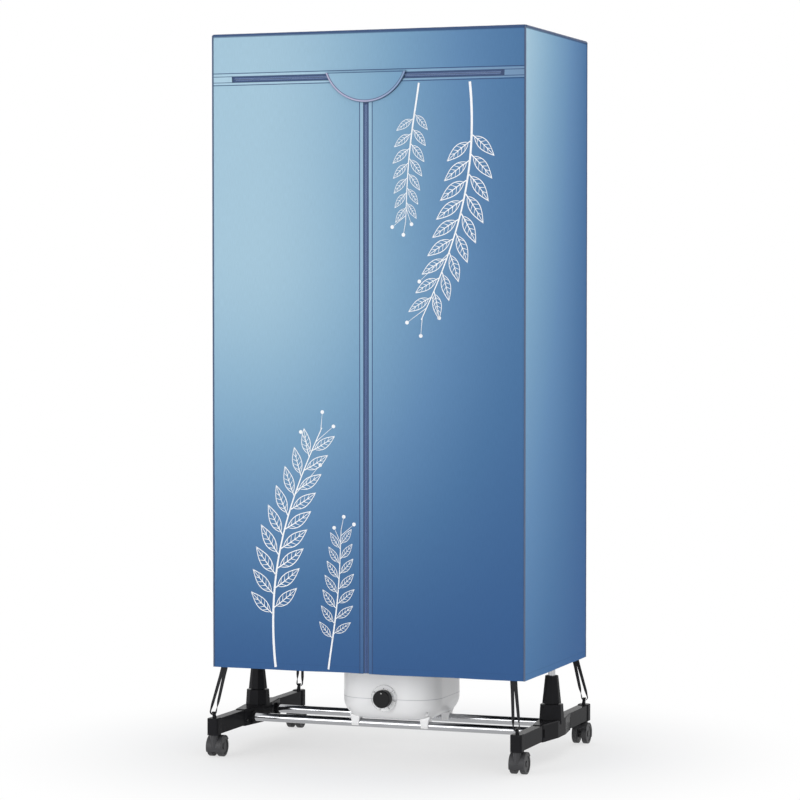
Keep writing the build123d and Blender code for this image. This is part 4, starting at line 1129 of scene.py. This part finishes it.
header_pieces = [
    tape_grid(
        "header_tape", spread(-zip_end, zip_end, 60), spread(zip_level + zip_gap, zip_level + tape_width, 4),
        lambda across, up: (across, tape_face, up), lambda across, up: (up, across),
    ),
    coil_row(
        "header_coil", (-zip_end + coil_margin, coil_middle, zip_level + coil_off), (coil_pitch, 0, 0),
        2 * zip_end - 2 * coil_margin, turned_size,
    ),
]
for side, sign in sides:
    header_pieces.append(tape_grid(
        "zip_tab", spread(zip_end - tab_over, fold_x + tab_over, 3),
        spread(door_top - tab_lap, header_low + tab_lap, 4),
        lambda away, up: (sign * away, tape_face + tab_behind, up), lambda away, up: (up, away),
    ))
header_zip = join_pieces("header_zip", header_pieces)
fit(header_zip, "navy_trim", "frame", "zip_tape_header")

# Stitching: rows of dark blue polyester thread that hold the folded cloth edges to the zip tapes, sewn
# with a long stitch beside each zip.
thread_blue = grained(
    "thread_blue", ((51, 67, 106), (76, 95, 138)), (0.5, 0.65), (0.35, 0.0001), {"Specular IOR Level": 0.35}
)
stitch_length = 0.0030
stitch_pitch = 0.0036
stitch_width = 0.0009
stitch_depth = 0.0005
stitch_rounding = 0.0002
stitch_margin = 0.003
row_margin = 0.004
fold_margin = 0.012
stitch_face = cover_front - 0.0001
long_stitch = (stitch_width, stitch_depth, stitch_length)
level_stitch = long_stitch[::-1]


def stitch_row(name, start, step, length, size, body):
    """A row of short rounded lengths of thread."""
    count = int(length / stitch_pitch)
    row = repeated(name, start, step, count, size, stitch_rounding, thread_blue)
    fit(row, "navy_trim", body)
    return row


for side, sign in sides:
    low = hem + stitch_margin
    start = cut_reach(door_line_high) + row_margin
    stitch_row(
            "door_stitches_" + side, (sign * door_line, stitch_face, low + stitch_length / 2),
            (0, 0, stitch_pitch), cut_level(door_line) - stitch_margin - low, long_stitch, "door_" + side,
        )
    stitch_row(
            "door_top_stitches_" + side, (sign * (start + stitch_length / 2), stitch_face, door_line_high),
            (sign * stitch_pitch, 0, 0), fold_x - fold_margin - start, level_stitch, "door_" + side,
        )
stitch_row(
    "header_stitches", (-panel_x + row_margin, stitch_face, header_line), (stitch_pitch, 0, 0),
    2 * panel_x - 2 * row_margin, level_stitch, "frame",
)
for side, sign in sides:
    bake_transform(front_panels[side])

# Flap: a half moon of the front satin that hangs over the parked sliders from a rolled edge along the
# header. Its round edge is bound in a pale lilac tape, sewn on with dark thread.
flap_face = flap_low[1]
flap_swell = 0.0010
flap_seam = flap_top - 0.0006
roll_radius = (flap_high[1] - flap_low[1]) / 2
binding_width = 0.0052
binding_end = atan2(flap_half, flap_centre - flap_top)
binding_section = (
    (0.0, -0.0002), (0.0008, -0.0005), (binding_width * 0.5, -0.0007), (binding_width - 0.0004, -0.0005),
    (binding_width + 0.0003, 0.0004), (binding_width - 0.0002, 0.0013), (binding_width * 0.4, 0.0013),
)


def flap_flat(part, ring):
    """A point of the half moon. Below zero, ring is the angle round the rolled edge."""
    across = flap_half * part
    if ring < 0:
        return (across, flap_top - roll_radius * ring)
    low = flap_centre - sqrt(max(0.0, flap_rim**2 - across**2))
    return (across, flap_top + (low - flap_top) * ring)


def flap_place(part, ring):
    """Where that point of the flap hangs."""
    across, up = flap_flat(part, ring)
    if ring < 0:
        return (across, flap_face + roll_radius * (1 - cos(ring)), flap_top - roll_radius * sin(ring))
    return (across, flap_face - flap_swell * sin(pi * ring) * (1 - part * part), up)


def flap_lines(tree, across, up):
    """The seam along the top of the flap."""
    return scaled(tree, line_at(tree, up, flap_seam, 0.0012), 0.85)


flap_columns = [sin(pi / 2 * value) for value in spread(-1.0, 1.0, 48)]
flap_rows = [-turn for turn in spread(pi, 0.0, 8)[:-1]] + spread(0.0, 1.0, 24)
# The flap has the front's painted light and shade.
flap_satin = satin_cloth("flap_satin", front_painted_light, front_light_level, flap_lines)
flap_cloth = cloth_panel(
    "flap_cloth", flap_columns, flap_rows, flap_place, flap_satin, "flap", "zip_flap", flap_flat
)


def binding_right_tint(tree):
    """The right half of the binding, which is bluer."""
    return ranged(tree, cloth_uv(tree)[1], -0.03, 0.09)


def binding_dark_lines(tree):
    """The dark thread along the inner edge of the binding, and a darker band along its outer edge."""
    across = cloth_uv(tree)[0]
    outer = ranged(tree, across, binding_width - 0.0010, binding_width - 0.0002)
    return scaled(tree, strongest(tree, line_at(tree, across, 0.0007, 0.0014), outer), 0.8)


binding_lilac = woven(
    "binding_lilac", ((168, 168, 196), (189, 188, 214)), (0.45, 0.6), (0.3, 0.0002),
    {"Specular IOR Level": 0.35, "Sheen Weight": 0.15}, 0.0009,
)
tinted(binding_lilac, binding_right_tint, (136, 162, 196))
tinted(binding_lilac, binding_dark_lines, (67, 85, 127))


def binding_place(turn, index):
    """A point of the binding: its section follows the round edge and folds over to the back."""
    inward, depth = binding_section[index]
    radius = flap_rim - binding_width + inward
    across = radius * sin(turn)
    up = flap_centre - radius * cos(turn)
    low = flap_centre - sqrt(flap_rim**2 - min(abs(across), flap_half) ** 2)
    ring = clamp((up - flap_top) / (low - flap_top))
    swell = flap_swell * sin(pi * ring) * (1 - min(1.0, across / flap_half) ** 2)
    return (across, flap_face - swell + depth, min(up, flap_top))


flap_binding = shaped_grid(
    "flap_binding", spread(-binding_end, binding_end, 90), range(len(binding_section)), binding_place,
    [binding_lilac], flat=lambda turn, index: (binding_section[index][0], turn * flap_rim), facing=None,
)
fit(flap_binding, "navy_trim", "flap")

# Zip guard: a patch of the same satin behind the parked sliders, folded forward at its top and sewn to
# the inside of the header.
guard_low, guard_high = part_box("zip_guard")
guard_face = -0.2234
guard_fold = 0.013
guard_rise = 0.6 * guard_fold
guard_step = guard_face - guard_low[1] - 0.0002


def guard_place(across, up):
    """The patch hangs straight and comes forward to the header in its top seam."""
    return (across, guard_face - guard_step * eased((up - guard_high[2] + guard_fold) / guard_rise), up)


guard_patch = cloth_panel(
    "guard_patch", spread(guard_low[0], guard_high[0], 30), spread(guard_low[2], guard_high[2], 30),
    guard_place, flap_satin, "frame", "zip_guard",
)

# Zip sliders and pulls: three plated cast sliders with their pulls, parked under the flap. Nickel
# plate with a brushed haze.
nickel = grained(
    "slider_nickel", ((158, 158, 156), (190, 190, 188)), (0.22, 0.38), None, {"Metallic": 1.0},
    ease="SMOOTHSTEP", Grain=1200.0, Patches=160.0,
)
finish_in(nickel, "zip_slider", "zip_pull")

# Piping: a cord wrapped in bias cut cloth along the top edge, and down the four corners. The top is
# deep navy, the corners a greyer blue, slightly puckered by the seam.
top_radius = 0.0028
corner_radius = 0.0022
corner_step = corner_radius + 0.0002
pipe_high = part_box("cover_piping")[1]
pipe_x = pipe_high[0] - top_radius
pipe_y = pipe_high[1] - top_radius
pipe_top = pipe_high[2] - top_radius
pipe_bend = 0.0035
pipe_run = 2.3
pleat_rate = 900.0
pucker = 0.06
pucker_rate = 60
pipe_weld = 0.00002


def piping_cloth(name, shades, highlight_strength):
    """Bias cut cloth round a cord, with a paler line where the light catches the fold."""
    made, tree = new_material(name, {"Specular IOR Level": 0.35, "Sheen Weight": 0.1})
    weave = use_group(tree, weave_group, Pitch=0.0009)
    across, along = cloth_uv(tree)
    height = combine(tree, "ADD", weave["Height"], scaled(tree, wave(tree, along, pleat_rate), 0.8))
    shade = blended(tree, weave["Fleck"], *shades)
    line = scaled(tree, line_at(tree, across, 0.5, 0.1), highlight_strength)
    colour = blended(tree, line, shade, (190, 194, 214))
    dress(tree, colour, ranged(tree, weave["Fleck"], 0.3, 0.7, 0.5, 0.65), height, (0.35, 0.0003))
    return made


# The corner piping carries a faint painted highlight along its fold; the top piping has none.
top_piping = piping_cloth("top_piping_navy", ((44, 67, 106), (62, 90, 134)), 0.0)
corner_piping = piping_cloth("corner_piping_blue", ((62, 78, 106), (85, 106, 138)), 0.12)


def pipe_loop(part):
    """A point of the top piping's line, and the way it runs, with part from 0 to 1 all the way round."""
    straight_x = 2 * (pipe_x - pipe_bend)
    straight_y = 2 * (pipe_y - pipe_bend)
    quarter = pi / 2 * pipe_bend
    lengths = (straight_x, quarter, straight_y, quarter)
    run = (part % 1.0) * 2 * sum(lengths)
    heading = 0.0
    point = Vector((-straight_x / 2, -pipe_y))
    for index in range(8):
        step = min(run, lengths[index % 4])
        if index % 2 == 0:
            point = point + Vector((cos(heading), sin(heading))) * step
        else:
            turned = heading + step / pipe_bend
            centre = point + Vector((-sin(heading), cos(heading))) * pipe_bend
            point = centre + Vector((sin(turned), -cos(turned))) * pipe_bend
            heading = turned
        run -= step
        if run <= 1e-9:
            break
    return point, Vector((cos(heading), sin(heading)))


def pipe_swell(radius, turn, along):
    """The piping's radius, a little uneven along the seam."""
    return radius * (1 - pucker * (1 + soft_noise(along * pucker_rate, cos(turn), sin(turn))))


def top_pipe_place(turn, part):
    """A point of the top piping."""
    point, ahead = pipe_loop(part)
    radius = pipe_swell(top_radius, turn, part * pipe_run)
    out = Vector((ahead.y, -ahead.x)) * (radius * cos(turn))
    return (point.x + out.x, point.y + out.y, pipe_top + radius * sin(turn))


pipe_turns = spread(0.0, 2 * pi, 14)
corners = [(sign_x, sign_y) for sign_x in (-1, 1) for sign_y in (-1, 1)]
pipes = [shaped_grid(
    "top_pipe", pipe_turns, spread(0.0, 1.0, 520), top_pipe_place, [top_piping],
    flat=lambda turn, part: (turn / (2 * pi), part * pipe_run), facing=None,
)]
for sign_x, sign_y in corners:
    corner = Vector((sign_x * (pipe_high[0] - corner_step), sign_y * (pipe_high[1] - corner_step)))
    outward = atan2(sign_y, sign_x)

    def corner_place(turn, up):
        """A point of a corner's piping."""
        radius = pipe_swell(corner_radius, turn, up + sign_x * 3 + sign_y)
        angle = outward + turn - pi
        return (corner.x + radius * cos(angle), corner.y + radius * sin(angle), up)

    pipes.append(shaped_grid(
        "corner_pipe", pipe_turns, spread(hem, pipe_top, 240), corner_place, [corner_piping],
        flat=lambda turn, up: (turn / (2 * pi), up), facing=None,
    ))
piping_cord = join_pieces("piping_cord", pipes)
edit_all(
    piping_cord, lambda: bpy.ops.mesh.remove_doubles(threshold=pipe_weld),
    lambda: bpy.ops.mesh.normals_make_consistent(inside=False),
)
fit(piping_cord, "navy_trim", "frame", "cover_piping")

# Straps: a loop of woven elastic from inside the hem at each corner, hooked under the nose on the foot
# arm. Black ribbed elastic, wide where it is sewn and drawn narrow at the hook.
elastic, elastic_tree = new_material("black_elastic_weave", {"Specular IOR Level": 0.25})
rib_pitch = 0.0013
pick_pitch = 0.0009
elastic_deep = (-1.6, 1.6)
elastic_across, elastic_along = cloth_uv(elastic_tree)
elastic_rib = wave(elastic_tree, elastic_across, 2 * pi / rib_pitch)
elastic_pick = wave(elastic_tree, elastic_along, 2 * pi / pick_pitch)
elastic_height = combine(elastic_tree, "ADD", elastic_rib, scaled(elastic_tree, elastic_pick, 0.6))
elastic_shade = blended(
    elastic_tree, ranged(elastic_tree, elastic_height, *elastic_deep), (16, 16, 18), (44, 44, 48)
)
elastic_gloss = ranged(elastic_tree, elastic_height, *elastic_deep, 0.8, 0.6)
dress(elastic_tree, elastic_shade, elastic_gloss, elastic_height, (0.5, 0.0002))
strap_thick = 0.0012
strap_edge = 0.00025
strap_tab = Vector((0.338, 0.2256, 0.214))
strap_hem = Vector((0.338, 0.2256, 0.1975))
strap_hook = Vector((0.353, 0.2534, 0.1025))
strap_wide = 0.0080
strap_narrow = 0.0060
strap_gap = 0.0040
strap_loop = 0.0070
strap_split = 0.82
strap_twist = 0.3
strap_run = 0.12
round_hook = 0.1
tab_end = 1.2


def strap_point(along):
    """The middle of the ribbon and its half width across, with along from -1.2 to 1.2 round the loop."""
    side = 1 if along > 0 else -1
    away = abs(along)
    if away < round_hook:
        turn = pi / 2 * along / round_hook
        middle = strap_hook + Vector((strap_loop * sin(turn), 0, -strap_loop * cos(turn)))
        return middle, Vector((0, strap_narrow / 2, 0))
    if away > 1.0:
        middle = strap_hem.lerp(strap_tab, (away - 1.0) / (tab_end - 1.0))
        return middle + Vector((side * strap_gap, 0, 0)), Vector((side * strap_wide / 2, 0, 0))
    part = clamp((away - round_hook) / (1.0 - round_hook))
    closed = min(1.0, part / strap_split)
    offset = strap_loop + (strap_gap - strap_loop) * closed
    angle = pi / 2 * (1 - eased(part / strap_twist))
    width = strap_narrow + (strap_wide - strap_narrow) * closed
    across = Vector((side * cos(angle), sin(angle), 0)) * (width / 2)
    return strap_hook.lerp(strap_hem, part) + Vector((side * offset, 0, 0)), across


strap_rows = spread_through((-tab_end, -round_hook, round_hook, tab_end), (40, 12, 40))
straps = []
for sign_x, sign_y in corners:
    def strap_place(across, along):
        """A point of the strap at this corner."""
        middle, half = strap_point(along)
        point = middle + half * across
        return (sign_x * point.x, sign_y * point.y, point.z)

    straps.append(shaped_grid(
        "strap", spread(-1.0, 1.0, 4), strap_rows, strap_place, [elastic],
        flat=lambda across, along: (across * strap_wide / 2, along * strap_run), facing=None,
    ))
hem_straps = join_pieces("hem_straps", straps)
apply_modifier(hem_straps, "SOLIDIFY", thickness=strap_thick, offset=0.0)
apply_modifier(hem_straps, "BEVEL", width=strap_edge, segments=2)
bpy.ops.object.shade_smooth_by_angle(angle=smooth_angle)
fit(hem_straps, "black_elastic", "frame", "cover_straps")

# Studio: a wide pale floor that fades into a white surround, a large soft key light from the left front,
# a weaker one from the right and one from behind, and the camera where the picture was taken.
floor_radius = 14.0
floor_near = 0.28
floor_away = 1.0
floor_least = 0.6
surround_light = 0.66
white = (1, 1, 1, 1)
floor_paper, floor_tree = new_material(
    "floor_paper", {"Base Color": (0.93, 0.93, 0.93, 1.0), "Roughness": 0.9, "Specular IOR Level": 0.1}
)
floor_far = place_node(floor_tree, "VectorMath", {0: object_place(floor_tree)}, operation="LENGTH")
floor_fade = ranged(floor_tree, floor_far.outputs["Value"], floor_near, floor_away, floor_least, 1.0)
floor_rays = place_node(floor_tree, "LightPath").outputs
floor_seen = strongest(floor_tree, floor_rays["Is Camera Ray"], floor_rays["Is Glossy Ray"])
floor_glow = place_node(floor_tree, "Emission", {"Color": white, "Strength": 1.0})
floor_mix = place_node(floor_tree, "MixShader", {
    0: scaled(floor_tree, floor_fade, floor_seen), 1: floor_tree.nodes["Principled BSDF"].outputs["BSDF"],
    2: floor_glow.outputs["Emission"],
})
floor_tree.links.new(floor_mix.outputs["Shader"], floor_tree.nodes["Material Output"].inputs["Surface"])
deselect()
bpy.ops.mesh.primitive_circle_add(vertices=96, radius=floor_radius, fill_type="NGON", location=(0, 0, 0))
floor = settle("floor", floor_paper)

surround = bpy.data.worlds.new("white_surround")
surround.use_nodes = True
surround_tree = surround.node_tree
surround_rays = place_node(surround_tree, "LightPath").outputs
surround_seen = strongest(
    surround_tree, surround_rays["Is Camera Ray"], surround_rays["Is Glossy Ray"],
    surround_rays["Is Transmission Ray"],
)
surround_level = ranged(surround_tree, surround_seen, 0.0, 1.0, surround_light, 1.0, "LINEAR")
surround_shader = surround_tree.nodes["Background"]
surround_shader.inputs["Color"].default_value = white
surround_tree.links.new(surround_level, surround_shader.inputs["Strength"])
bpy.context.scene.world = surround


def soft_light(name, place, aim, size, power):
    """A large square lamp aimed at a point."""
    lamp = bpy.data.lights.new(name, "AREA")
    lamp.size = size
    lamp.energy = power
    made = new_object(name, lamp)
    made.location = place
    made.rotation_euler = (Vector(aim) - Vector(place)).to_track_quat("-Z", "Y").to_euler()


soft_light("key_light", (-2.6, -4.6, 0.8), (0, 0, 0.6), 2.8, 104)
soft_light("fill_light", (3.2, -3.4, 1.2), (0.2, 0, 0.5), 2.0, 24)
soft_light("back_light", (0.8, 3.4, 2.8), (0, 0, 0.9), 2.0, 18)

camera_data = bpy.data.cameras.new("camera")
camera_data.lens = 131.96
camera_data.sensor_width = 36
camera = new_object("camera", camera_data)
camera.location = (2.2773, -6.1813, 1.0295)
camera.rotation_euler = (radians(90 - 2.087), 0, radians(20.267))
bpy.context.scene.camera = camera
bpy.context.scene.view_settings.view_transform = "Standard"
